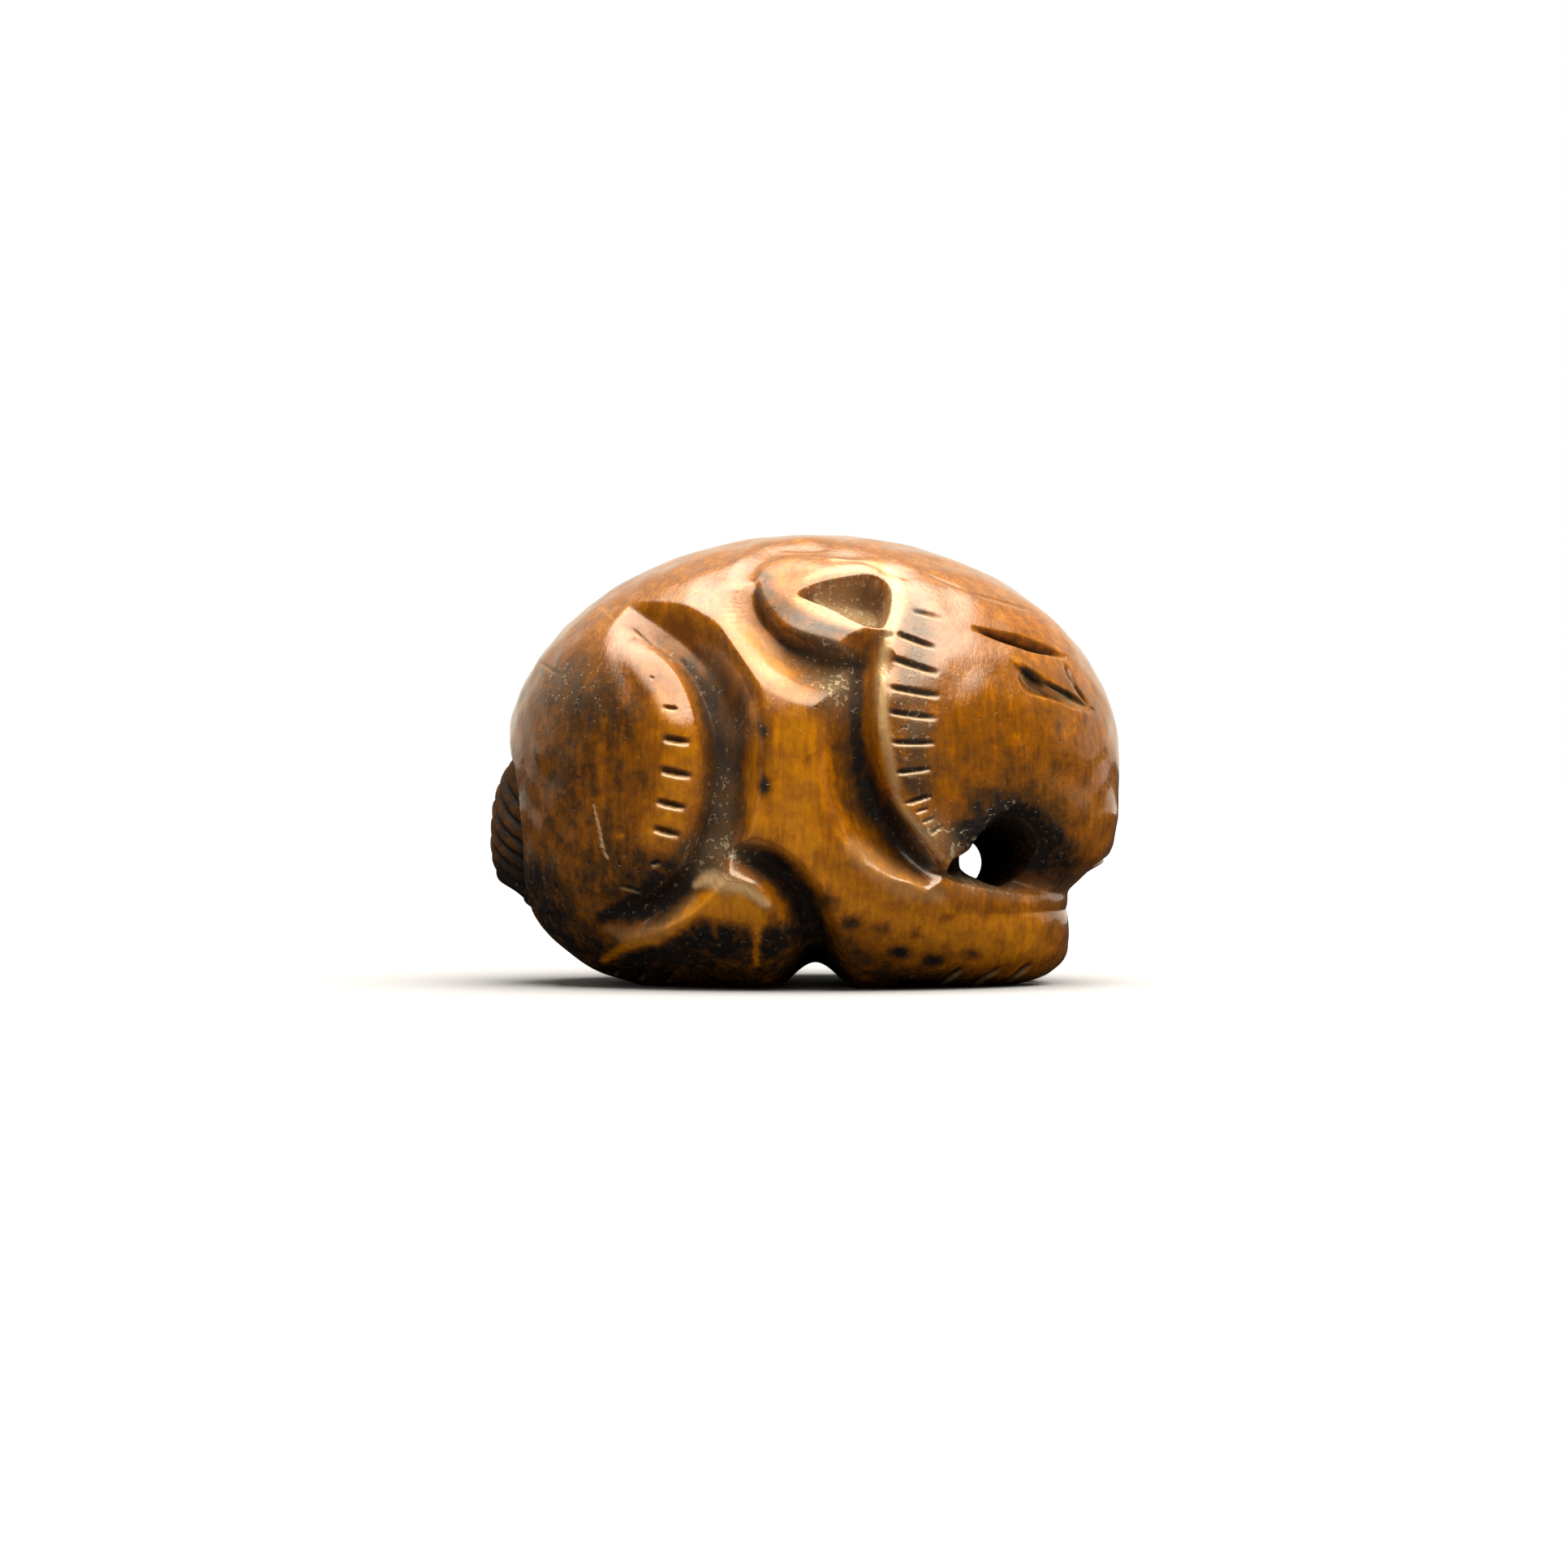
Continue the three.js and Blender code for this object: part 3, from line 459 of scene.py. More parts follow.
def blend(start, end, share):
    """A value between two others, by its share of the way."""
    return start + (end - start) * share


def crossed(cuts):
    """The depth where several cuts meet: the deepest, a little more where two are as deep."""
    return sum(depth ** CROSSING for depth in cuts) ** (1 / CROSSING)


def through_rows(rows, closed=False):
    """A smooth line through control rows, with every column interpolated."""
    rows = np.array(rows, float)
    if closed:
        rows = np.vstack([rows[-1:], rows, rows[:2]])
    else:
        rows = np.vstack([2 * rows[:1] - rows[1:2], rows, 2 * rows[-1:] - rows[-2:-1]])
    t = np.arange(CURVE_STEPS)[:, None] / CURVE_STEPS
    made = []
    for before, value, following, after in zip(rows, rows[1:], rows[2:], rows[3:]):
        leave = (following - before) / 2
        arrive = (after - value) / 2
        made.append(
            (2 * t ** 3 - 3 * t ** 2 + 1) * value + (t ** 3 - 2 * t ** 2 + t) * leave
            + (3 * t ** 2 - 2 * t ** 3) * following + (t ** 3 - t ** 2) * arrive)
    return np.vstack([*made, rows[-2:-1]])


def nearest_on(line, x, z):
    """How far places are from a line, on which hand of it, and the line's other columns there."""
    away = np.full(x.shape, np.inf)
    hand = np.ones(x.shape)
    values = np.zeros((len(x), line.shape[1] - 2))
    for start, run in zip(line[:-1], np.diff(line, axis=0)):
        t = clamp01(((x - start[0]) * run[0] + (z - start[1]) * run[1]) / (run[0] ** 2 + run[1] ** 2))
        off_x = x - start[0] - t * run[0]
        off_z = z - start[1] - t * run[1]
        here = np.hypot(off_x, off_z)
        closer = here < away
        away[closer] = here[closer]
        hand[closer] = np.where(run[0] * off_z - run[1] * off_x >= 0, LEFT, RIGHT)[closer]
        values[closer] = (start[2:] + t[:, None] * run[2:])[closer]
    return away, hand, values


class Carving:
    """The bead's carving, in millimetres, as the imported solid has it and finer."""

    def __init__(self, sizes):
        self.length, self.width, self.height = (
            value / MM for value in (sizes.body_length, sizes.body_width, sizes.body_height))
        self.tail_proud = sizes.tail_proud / MM
        self.middle = self.height / 2
        self.lower = self.middle + sizes.sole_trim / MM
        self.stroke_scale = sizes.stroke_scale
        self.unevenness = sizes.unevenness / MM
        self.per_length = self.length / 100
        self.per_height = self.height / 100
        self.walled = [self.walled_cut(cut) for cut in WALLED_CUTS.values()]
        self.grooves = [self.flank_line(rows) for rows in (FOOT_GROOVE, BROW_CUT)]
        self.ear = self.flank_line(EAR_OUTLINE, closed=True)
        self.strokes = [self.stroke_line(*stroke) for stroke in STROKES]

    def flank_line(self, rows, closed=False):
        """Control rows in hundredths, made into a line in millimetres on the flank."""
        line = through_rows(rows, closed)
        return line * np.array([self.per_length] + [self.per_height] * (line.shape[1] - 1))

    def walled_cut(self, cut):
        """A cut with its line and its sides in millimetres."""
        sides = {key: cut[key] * self.per_height for key in ("bevel", "drop", "wall")}
        return {**cut, **sides, "line": self.flank_line(cut["line"])}

    def within(self, line, most, x, z):
        """Which places lie in the box around a line."""
        return ((x > line[:, 0].min() - most) & (x < line[:, 0].max() + most)
                & (z > line[:, 1].min() - most) & (z < line[:, 1].max() + most))

    def walled_depth(self, cut, x, z):
        """The form rolls over its bevel, then drops at the wall to a floor that rises over the reach."""
        depths = np.zeros(x.shape)
        near = self.within(cut["line"], cut["bevel"] + cut["wall"] + cut["line"][:, 3].max(), x, z)
        away, hand, values = nearest_on(cut["line"], x[near], z[near])
        depth, reach = values.T
        off = away * hand * cut["hand"]
        rolled = np.minimum(depth, cut["drop"]) * clamp01(1 + off / cut["bevel"]) ** cut["curve"]
        down = clamp01(off / cut["wall"])
        rise = (off - cut["wall"]) / reach
        dropped = rolled + (depth - rolled) * down * (2 - down)
        lifted = dropped * (1 - smooth((rise - cut["floor"]) / (1 - cut["floor"])))
        depths[near] = np.where(off <= 0, rolled, lifted)
        return depths

    def groove_depth(self, line, x, z):
        """A groove is deepest along its line."""
        depths = np.zeros(x.shape)
        near = self.within(line, line[:, 3].max(), x, z)
        away, _, values = nearest_on(line, x[near], z[near])
        depths[near] = values[:, 0] * (1 - smooth(away / values[:, 1]))
        return depths

    def inside_ear(self, x, z):
        """Which places lie inside the outline of the ear's hollow."""
        inside = np.zeros(x.shape, bool)
        for (ax, az), (bx, bz) in zip(self.ear, self.ear[1:]):
            if az != bz:
                crosses = ((az > z) != (bz > z)) & (x < ax + (z - az) / (bz - az) * (bx - ax))
                inside ^= crosses
        return inside

    def ear_depth(self, x, z):
        """The ear's hollow falls at its wall to a floor that is deeper towards the head."""
        depths = np.zeros(x.shape)
        near = self.inside_ear(x, z)
        away, _, _ = nearest_on(self.ear, x[near], z[near])
        down = clamp01(away / (EAR_WALL * self.per_height))
        share = clamp01((x[near] / self.per_length - EAR_SPAN[0]) / (EAR_SPAN[1] - EAR_SPAN[0]))
        depths[near] = blend(*EAR_DEPTHS, share) * self.per_height * down * (2 - down)
        return depths

    def tail_place(self, y, z):
        """Where a place lies in the tail's ellipse: across, upwards, and how far out."""
        across = y / (TAIL["half_width"] * self.per_height)
        upwards = (z - TAIL["up"] * self.per_height) / (TAIL["half_height"] * self.per_height)
        return across, upwards, np.hypot(across, upwards)

    def tail_depth(self, x, y, z):
        """Depth on the rump: the sunk ring is positive and the tail, proud of the blank, is negative."""
        across, _, out = self.tail_place(y, z)
        beside = (across / np.maximum(out, TINY)) ** 2
        ring = TAIL["ring"] * self.per_height * blend(TAIL["tip_share"], 1, beside)
        outside = ring * clamp01(1 - (out - 1) / TAIL["reach"])
        domed = ring - (ring + self.tail_proud) * clamp01(1 - out ** 2) ** TAIL["fullness"]
        return np.where(x > 0, 0, np.where(out >= 1, outside, domed))

    def sole_depth(self, x, y, z):
        """The groove between the soles, wide behind and narrow in front."""
        fore = smooth(0.5 + x / (SOLE_GROOVE["change"] * self.per_length))
        half_width = blend(SOLE_GROOVE["hind"], SOLE_GROOVE["fore"], fore) * self.per_height
        fade = 1 - smooth((z / self.per_height - SOLE_GROOVE["top"]) / SOLE_GROOVE["fade"])
        return SOLE_GROOVE["depth"] * self.per_height * fade * (1 - smooth(np.abs(y) / half_width))

    def face_depth(self, x, y, z):
        """The cuts of the nose and the mouth, the same on both sides."""
        deepest = np.zeros(x.shape)
        for cut in FACE_CUTS:
            line = np.array(cut["ends"], float) * self.per_height
            away, _, _ = nearest_on(line, np.abs(y), z)
            fall = 1 - smooth(away / (cut["half_width"] * self.per_height))
            deepest = np.maximum(deepest, cut["depth"] * self.per_height * fall)
        return np.where(x < 0, 0, deepest)

    def flank_cuts(self, x, z):
        """The depths of all the cuts that are drawn on the flank."""
        return [
            *(self.walled_depth(cut, x, z) for cut in self.walled),
            *(self.groove_depth(line, x, z) for line in self.grooves),
            self.ear_depth(x, z),
        ]

    def depth(self, x, y, z):
        """How deep the blank is cut. Cuts that cross run into each other softly."""
        tail = self.tail_depth(x, y, z)
        cuts = [
            *self.flank_cuts(x, z), self.sole_depth(x, y, z), self.face_depth(x, y, z), np.maximum(0, tail)]
        return crossed(cuts) + np.minimum(0, tail)

    def trim(self, z, column):
        """The reach of one side of the blank at a height, as a share."""
        return np.interp(z / self.per_height, LOWER_TRIM[:, 0], LOWER_TRIM[:, column])

    def blank(self, directions):
        """The blank's surface in directions from its middle, and its normals before it is trimmed."""
        dx, dy, dz = directions.T
        power = np.where(dz >= 0, UPPER_SQUARENESS, LOWER_SQUARENESS)
        high = np.where(dz >= 0, self.height - self.middle, self.lower)
        size = (np.hypot(dx, dy) ** power + np.abs(dz) ** power) ** (-1 / power)
        u, v, w = size * dx, size * dy, size * dz
        around = np.hypot(u, v) ** (power - 2)
        normals = np.stack([
            around * u / (self.length / 2), around * v / (self.width / 2),
            np.sign(w) * np.abs(w) ** (power - 1) / high,
        ], axis=1)
        normals = unit(normals)
        x, y, z = u * self.length / 2, v * self.width / 2, self.middle + w * high
        x = x * np.where(u > 0, self.trim(z, 1), self.trim(z, 2))
        return np.stack([x, y * self.trim(z, 3), z], axis=1), normals

    def carve(self, directions):
        """The carved points in directions from the blank's middle, and the blank's points above them."""
        places, normals = self.blank(directions)
        depths = self.depth(*places.T) + self.fine_depth(*places.T)
        points = places - normals * depths[:, None]
        points[:, 2] = np.maximum(0, points[:, 2])
        return points, places

    def stroke_line(self, start, end, depth, half_width):
        """A knife stroke between two places on the flank, deep in its middle."""
        start = np.array(start, float)
        end = np.array(end, float)
        rows = [[*blend(start, end, share), depth * deep, half_width] for share, deep in STROKE_PROFILE]
        return np.array(rows) * [self.per_length, self.per_height, self.per_height, self.per_height]

    def stroke_depth_at(self, x, z):
        """How deep the knife strokes are at places of the flank, and how near each place is to one."""
        depths = np.zeros(x.shape)
        closeness = np.zeros(x.shape)
        for line in self.strokes:
            halo = line[0, 3] * STROKE_HALO
            near = self.within(line, halo, x, z)
            if not near.any():
                continue
            away, _, values = nearest_on(line, x[near], z[near])
            depths[near] = np.maximum(depths[near], values[:, 0] * clamp01(1 - away / values[:, 1]))
            closeness[near] = np.maximum(closeness[near], clamp01(1 - away / halo))
        return depths * self.stroke_scale, closeness

    def hair_depth(self, x, y, z):
        """The sloping cuts that make the tail's hair."""
        _, _, out = self.tail_place(y, z)
        rows = (z + HAIR["slope"] * np.abs(y)) / (HAIR["step"] * self.per_height)
        ridge = np.abs(2 * (rows % 1) - 1)
        fade = clamp01((1 - out) * HAIR["fade"]) * (x < 0)
        return HAIR["depth"] * self.per_height * fade * ridge ** 2

    def ripple_depth(self, x, y, z):
        """The hand's unevenness, each ripple a step further on in its wave."""
        waves = np.array(RIPPLES) * 2 * np.pi / [self.length, self.width, self.height]
        phases = np.arange(len(RIPPLES))
        return self.unevenness * np.sin(np.stack([x, y, z], axis=1) @ waves.T + phases).sum(axis=1)

    def fine_depth(self, x, y, z):
        """What only the fine piece has: knife strokes, the tail's hair and the hand's unevenness."""
        return self.stroke_depth_at(x, z)[0] + self.hair_depth(x, y, z) + self.ripple_depth(x, y, z)

    def wanted_edge(self, x, y, z):
        """The longest edge that the net may have at places, short at the knife strokes and on the tail."""
        _, closeness = self.stroke_depth_at(x, z)
        wanted = blend(LONGEST_EDGE, STROKE_EDGE, clamp01(closeness / STROKE_NEAR))
        on_tail = (x < 0) & (self.tail_place(y, z)[2] < 1)
        return np.where(on_tail, np.minimum(wanted, TAIL_EDGE), wanted)


def carved_net(carving, most_triangles):
    """A closed net over the blank's directions, divided where its edges stray from the carving."""
    net = bmesh.new()
    bmesh.ops.create_icosphere(net, subdivisions=FIRST_DETAIL, radius=1)
    directions = unit(np.array([vert.co for vert in net.verts]))
    points, places = carving.carve(directions)
    for _ in range(ROUNDS):
        ends = np.array([[vert.index for vert in edge.verts] for edge in net.edges])
        middles, middle_places = carving.carve(unit(directions[ends].sum(axis=1)))
        chords = points[ends[:, 1]] - points[ends[:, 0]]
        lengths = np.linalg.norm(chords, axis=1)
        strays = np.linalg.norm(np.cross(middles - points[ends[:, 0]], chords), axis=1) / lengths
        need = np.maximum(strays / FINE_ERROR, lengths / carving.wanted_edge(*middle_places.T))
        need[lengths < 2 * SHORTEST_EDGE] = 0
        room = max(0, (most_triangles - len(net.faces)) // 2)
        chosen = np.argsort(-need)[:room]
        chosen = chosen[need[chosen] > 1]
        if not len(chosen):
            break
        net.edges.ensure_lookup_table()
        bmesh.ops.subdivide_edges(net, edges=[net.edges[i] for i in chosen], cuts=1)
        bmesh.ops.triangulate(net, faces=[face for face in net.faces if len(face.verts) > 3])
        net.verts.index_update()
        for vert in net.verts:
            vert.co.normalize()
        added = np.array([vert.co for vert in net.verts])[len(directions):]
        added_points, added_places = carving.carve(added)
        directions = np.vstack([directions, added])
        points = np.vstack([points, added_points])
        places = np.vstack([places, added_places])
    for vert, point in zip(net.verts, points):
        vert.co = point
    return net, places


def blurred(layer, blur, step):
    """A map layer softened by a bell of the given width."""
    rows, columns = (np.fft.fftfreq(count, step) for count in layer.shape)
    bell = np.exp(-2 * (np.pi * blur) ** 2 * (rows[:, None] ** 2 + columns[None, :] ** 2))
    return np.real(np.fft.ifft2(np.fft.fft2(layer) * bell))


class FlankMap:
    """The flank's carved depth as a map over length and height, which tells hollows from edges."""

    def __init__(self, carving):
        self.left = -carving.length / 2 - MAP_MARGIN
        self.low = -MAP_MARGIN
        x = np.arange(self.left, carving.length / 2 + MAP_MARGIN, MAP_STEP)
        z = np.arange(self.low, carving.height + MAP_MARGIN, MAP_STEP)
        grid = np.meshgrid(x, z)
        cuts = carving.flank_cuts(*(axis.ravel() for axis in grid))
        self.depth = crossed(cuts).reshape(grid[0].shape)
        self.hollow_blur = blurred(self.depth, HOLLOW_BLUR, MAP_STEP)
        self.edge_blur = blurred(self.depth, EDGE_BLUR, MAP_STEP)

    def sample(self, layer, x, z):
        """A layer's value at places, between its four nearest points."""
        column = np.clip((x - self.left) / MAP_STEP, 0, layer.shape[1] - LAST_CELL)
        row = np.clip((z - self.low) / MAP_STEP, 0, layer.shape[0] - LAST_CELL)
        i = row.astype(int)
        j = column.astype(int)
        along = column - j
        below = blend(layer[i, j], layer[i, j + 1], along)
        above = blend(layer[i + 1, j], layer[i + 1, j + 1], along)
        return blend(below, above, row - i)


def strip_mask(carving, strips, x, z):
    """Soft strips on the flank, the strongest of them at each place."""
    strongest = np.zeros(x.shape)
    for strength, rows in strips.values():
        line = carving.flank_line(rows)
        near = carving.within(line, 2 * line[:, 2].max(), x, z)
        away, _, values = nearest_on(line, x[near], z[near])
        here = strength * (1 - smooth(away / values[:, 0] / STRIP_SOFT - STRIP_CORE))
        strongest[near] = np.maximum(strongest[near], here)
    return strongest


def patch_mask(carving, patches, x, z):
    """Soft patches on the flank, added up."""
    total = np.zeros(x.shape)
    for along, up, half_along, half_up, strength in patches:
        across = (x / carving.per_length - along) / half_along
        upwards = (z / carving.per_height - up) / half_up
        total += strength * np.exp(-(across ** 2 + upwards ** 2))
    return total


def surface_masks(carving, places):
    """What the finish needs to know of each point of the carving."""
    flank = FlankMap(carving)
    x, y, z = places.T
    depth = flank.sample(flank.depth, x, z)
    dark = STROKE_DARK * carving.per_height
    # Painted shade in the knife strokes, shifted up, and a painted highlight on the lip below each.
    stroke, above, below = (
        carving.stroke_depth_at(x, z + shift * carving.per_height)[0]
        for shift in (0, STROKE_LIP, -STROKE_SHIFT))
    lip = clamp01((above - stroke) / dark) * LIP_SHARE
    _, _, out = carving.tail_place(y, z)
    ring = np.maximum(0, carving.tail_depth(x, y, z)) / FULL_RING
    hollow = (depth - flank.sample(flank.hollow_blur, x, z)) / FULL_HOLLOW + HOLLOW_PER_DEPTH * depth
    edge = (flank.sample(flank.edge_blur, x, z) - depth) / FULL_EDGE
    gold = clamp01(strip_mask(carving, GOLD_STRIPS, x, z) + patch_mask(carving, GOLD_PATCHES, x, z))
    # Stains and painted shade, from the strips and the patches.
    stain_and_shade = strip_mask(carving, STAIN_AND_SHADE_STRIPS, x, z) + patch_mask(carving, STAIN_AND_SHADE_PATCHES, x, z)
    # The tail's hair cuts are darkened with painted shade.
    hair = carving.hair_depth(x, y, z) / (HAIR["depth"] * carving.per_height)
    return {
        "hollow": clamp01(np.maximum(hollow, ring)),
        "edge": clamp01(edge),
        "stroke": clamp01(below / dark),
        "stain_and_shade": np.minimum(stain_and_shade * (1 - GOLD_CLEARS * gold), MOST_STAIN_AND_SHADE),
        "gold": gold,
        "wear_and_highlight": np.maximum(strip_mask(carving, WEAR_AND_HIGHLIGHT_STRIPS, x, z), lip),
        "dust": clamp01(patch_mask(carving, DUST_PATCHES, x, z)),
        "dull": clamp01(patch_mask(carving, DULL_PATCHES, x, z)),
        "tail": np.where(x < 0, clamp01((TAIL_COLOUR_ENDS - out) / TAIL_COLOUR_FADE), 0),
        "hair": clamp01(hair),
    }


def drill(carving, sizes, side):
    """The drill that cuts the cord channel from one flank to the middle."""
    along, up = CHANNEL_MIDDLE
    middle = Vector((along * carving.per_length, 0, up * carving.per_height))
    along, up, out = CHANNEL_MOUTH
    out = side * out / 100 * carving.width / 2
    run = Vector((along * carving.per_length, out, up * carving.per_height)) - middle
    reach = run.length + CHANNEL_OVERLAP
    centre = middle + run.normalized() * (reach / 2 - CHANNEL_OVERLAP)
    turned = Vector((0, 0, 1)).rotation_difference(run).to_matrix().to_4x4()
    made = bmesh.new()
    bmesh.ops.create_cone(
        made, cap_ends=True, segments=CHANNEL_SIDES, radius1=sizes.channel_diameter / MM / 2,
        radius2=sizes.channel_mouth_diameter / MM / 2, depth=reach,
        matrix=Matrix.Translation(centre) @ turned)
    return to_object(made, "channel_drill")


def to_object(made, name):
    """A new object that holds a bmesh."""
    mesh = bpy.data.meshes.new(name)
    made.to_mesh(mesh)
    made.free()
    piece = bpy.data.objects.new(name, mesh)
    bpy.context.scene.collection.objects.link(piece)
    return piece


def cut_away(piece, tool):
    """Cuts one object out of another and removes it."""
    cut = piece.modifiers.new("Drill", "BOOLEAN")
    cut.operation = "DIFFERENCE"
    cut.solver = "EXACT"
    cut.object = tool
    bpy.context.view_layer.update()
    evaluated = piece.evaluated_get(bpy.context.evaluated_depsgraph_get())
    cut_mesh = bpy.data.meshes.new_from_object(evaluated)
    piece.modifiers.clear()
    spent = [piece.data, tool.data]
    piece.data = cut_mesh
    bpy.data.objects.remove(tool)
    for mesh in spent:
        bpy.data.meshes.remove(mesh)


def store_masks(piece, points, masks):
    """Puts each mask on the drilled piece as an attribute, taken from the nearest carved point."""
    tree = KDTree(len(points))
    for index, point in enumerate(points):
        tree.insert(point, index)
    tree.balance()
    found = [tree.find(vert.co) for vert in piece.data.vertices]
    nearest = np.array([index for _, index, _ in found])
    away = np.array([distance for _, _, distance in found])
    masks = {name: mask[nearest] for name, mask in masks.items()}
    # The inside of the drilled channel is darkened with painted shade.
    masks["channel"] = clamp01((away - CHANNEL_STARTS) / CHANNEL_FADE)
    for name, mask in masks.items():
        attribute = piece.data.attributes.new(name, "FLOAT", "POINT")
        attribute.data.foreach_set("value", mask.astype(np.float32))


class Tree:
    """A short way to add nodes to a node tree and join them."""

    def __init__(self, tree):
        self.tree = tree

    def add(self, kind, sockets=None, **settings):
        """A node with its settings, and with its sockets joined to others or set to values."""
        node = self.tree.nodes.new(kind)
        for name, value in settings.items():
            setattr(node, name, value)
        for key, value in (sockets or {}).items():
            if isinstance(value, bpy.types.NodeSocket):
                self.tree.links.new(value, node.inputs[key])
            else:
                node.inputs[key].default_value = value
        return node

    def math(self, operation, *values, clamp=False):
        """One step of arithmetic with two values."""
        sockets = dict(enumerate(values))
        return self.add("ShaderNodeMath", sockets, operation=operation, use_clamp=clamp).outputs[0]

    def product(self, *values):
        result = values[0]
        for value in values[1:]:
            result = self.math("MULTIPLY", result, value)
        return result

    def total(self, *values):
        result = values[0]
        for value in values[1:]:
            result = self.math("ADD", result, value)
        return result

    def weighted(self, values, weights, start=0.0):
        """A start and several named values, each times its weight, added up."""
        return self.total(start, *(self.product(values[name], weight) for name, weight in weights.items()))

    def clamped(self, value):
        return self.math("ADD", value, 0, clamp=True)

    def spread(self, value, low, high, to_low=0.0, to_high=1.0):
        """A value spread from one range to another, and clamped there."""
        sockets = {0: value, 1: low, 2: high, 3: to_low, 4: to_high}
        return self.add("ShaderNodeMapRange", sockets).outputs[0]

    def noise(self, vector, scale, detail, roughness=0.55, distortion=0.0):
        sockets = {
            "Vector": vector, "Scale": scale, "Detail": detail, "Roughness": roughness,
            "Distortion": distortion}
        return self.add("ShaderNodeTexNoise", sockets).outputs[0]

    def mix_colour(self, share, first, second):
        sockets = {0: share, 6: first, 7: second}
        return self.add("ShaderNodeMix", sockets, data_type="RGBA").outputs[2]

    def attribute(self, name):
        return self.add("ShaderNodeAttribute", attribute_name=name).outputs["Fac"]

    def group(self, group, sockets=None):
        return self.add("ShaderNodeGroup", sockets, node_tree=group).outputs


def new_group(name, inputs, outputs):
    """A node group with value sockets, ready to be filled: its tree, its inputs and its output node."""
    group = bpy.data.node_groups.new(name, "ShaderNodeTree")
    for socket, value in inputs.items():
        made = group.interface.new_socket(socket, in_out="INPUT", socket_type="NodeSocketFloat")
        made.default_value = value
    for socket in outputs:
        group.interface.new_socket(socket, in_out="OUTPUT", socket_type="NodeSocketFloat")
    tree = Tree(group)
    return group, tree, tree.add("NodeGroupInput").outputs, tree.add("NodeGroupOutput").inputs


def place(tree, turn=(0, 0, 0), scale=(1, 1, 1)):
    """Places in the piece, turned and stretched for a pattern."""
    coordinates = tree.add("ShaderNodeTexCoord").outputs["Object"]
    sockets = {"Vector": coordinates, "Rotation": turn, "Scale": scale}
    return tree.add("ShaderNodeMapping", sockets).outputs[0]


def grain_group():
    """Streaks that run up the wood, broad and fine."""
    group, tree, given, made = new_group(
        "Wood grain", {"Broad Scale": 1500.0, "Fine Scale": 4200.0, "Waver": 0.4}, ["Broad", "Fine"])
    along = place(tree, turn=GRAIN_TURN, scale=GRAIN_STRETCH)
    broad = tree.noise(along, given["Broad Scale"], detail=4, distortion=given["Waver"])
    fine = tree.noise(along, given["Fine Scale"], detail=2, roughness=0.7)
    group.links.new(tree.spread(broad, low=0.3, high=0.7), made["Broad"])
    group.links.new(tree.spread(fine, low=0.28, high=0.72), made["Fine"])
    return group


def mottle_group():
    """Uneven patches left by handling, large and small."""
    group, tree, given, made = new_group(
        "Handling mottle", {"Large Scale": 260.0, "Small Scale": 1300.0}, ["Large", "Small"])
    spot = place(tree)
    large = tree.noise(spot, given["Large Scale"], detail=4, roughness=0.6, distortion=0.4)
    small = tree.noise(spot, given["Small Scale"], detail=5, roughness=0.65, distortion=0.3)
    group.links.new(tree.spread(large, low=0.3, high=0.7), made["Large"])
    group.links.new(tree.spread(small, low=0.3, high=0.7), made["Small"])
    return group


def speck_group():
    """Small specks where a fine noise peaks, more of them where the amount is high."""
    group, tree, given, made = new_group(
        "Specks", {"Scale": 4200.0, "Amount": 0.5, "Rarity": 0.72}, ["Specks"])
    noise = tree.noise(place(tree), given["Scale"], detail=2, roughness=0.5)
    start = tree.math("SUBTRACT", given["Rarity"], tree.product(given["Amount"], SPECKS_PER_AMOUNT))
    specks = tree.math("DIVIDE", tree.math("SUBTRACT", noise, start), SPECK_EDGE, clamp=True)
    group.links.new(tree.math("MULTIPLY", specks, given["Amount"], clamp=True), made["Specks"])
    return group


def wood_tones(tree, darkness, colours):
    """The wood's colour, from honey to soot, by how dark it is."""
    ramp = tree.add("ShaderNodeValToRGB", {0: tree.clamped(darkness)})
    stops = ramp.color_ramp.elements
    while len(stops) < len(TONE_PLACES):
        stops.new(0.5)
    for stop, (name, position) in zip(stops, TONE_PLACES.items()):
        stop.position = position
        stop.color = (*getattr(colours, name), 1)
    return ramp.outputs[0]


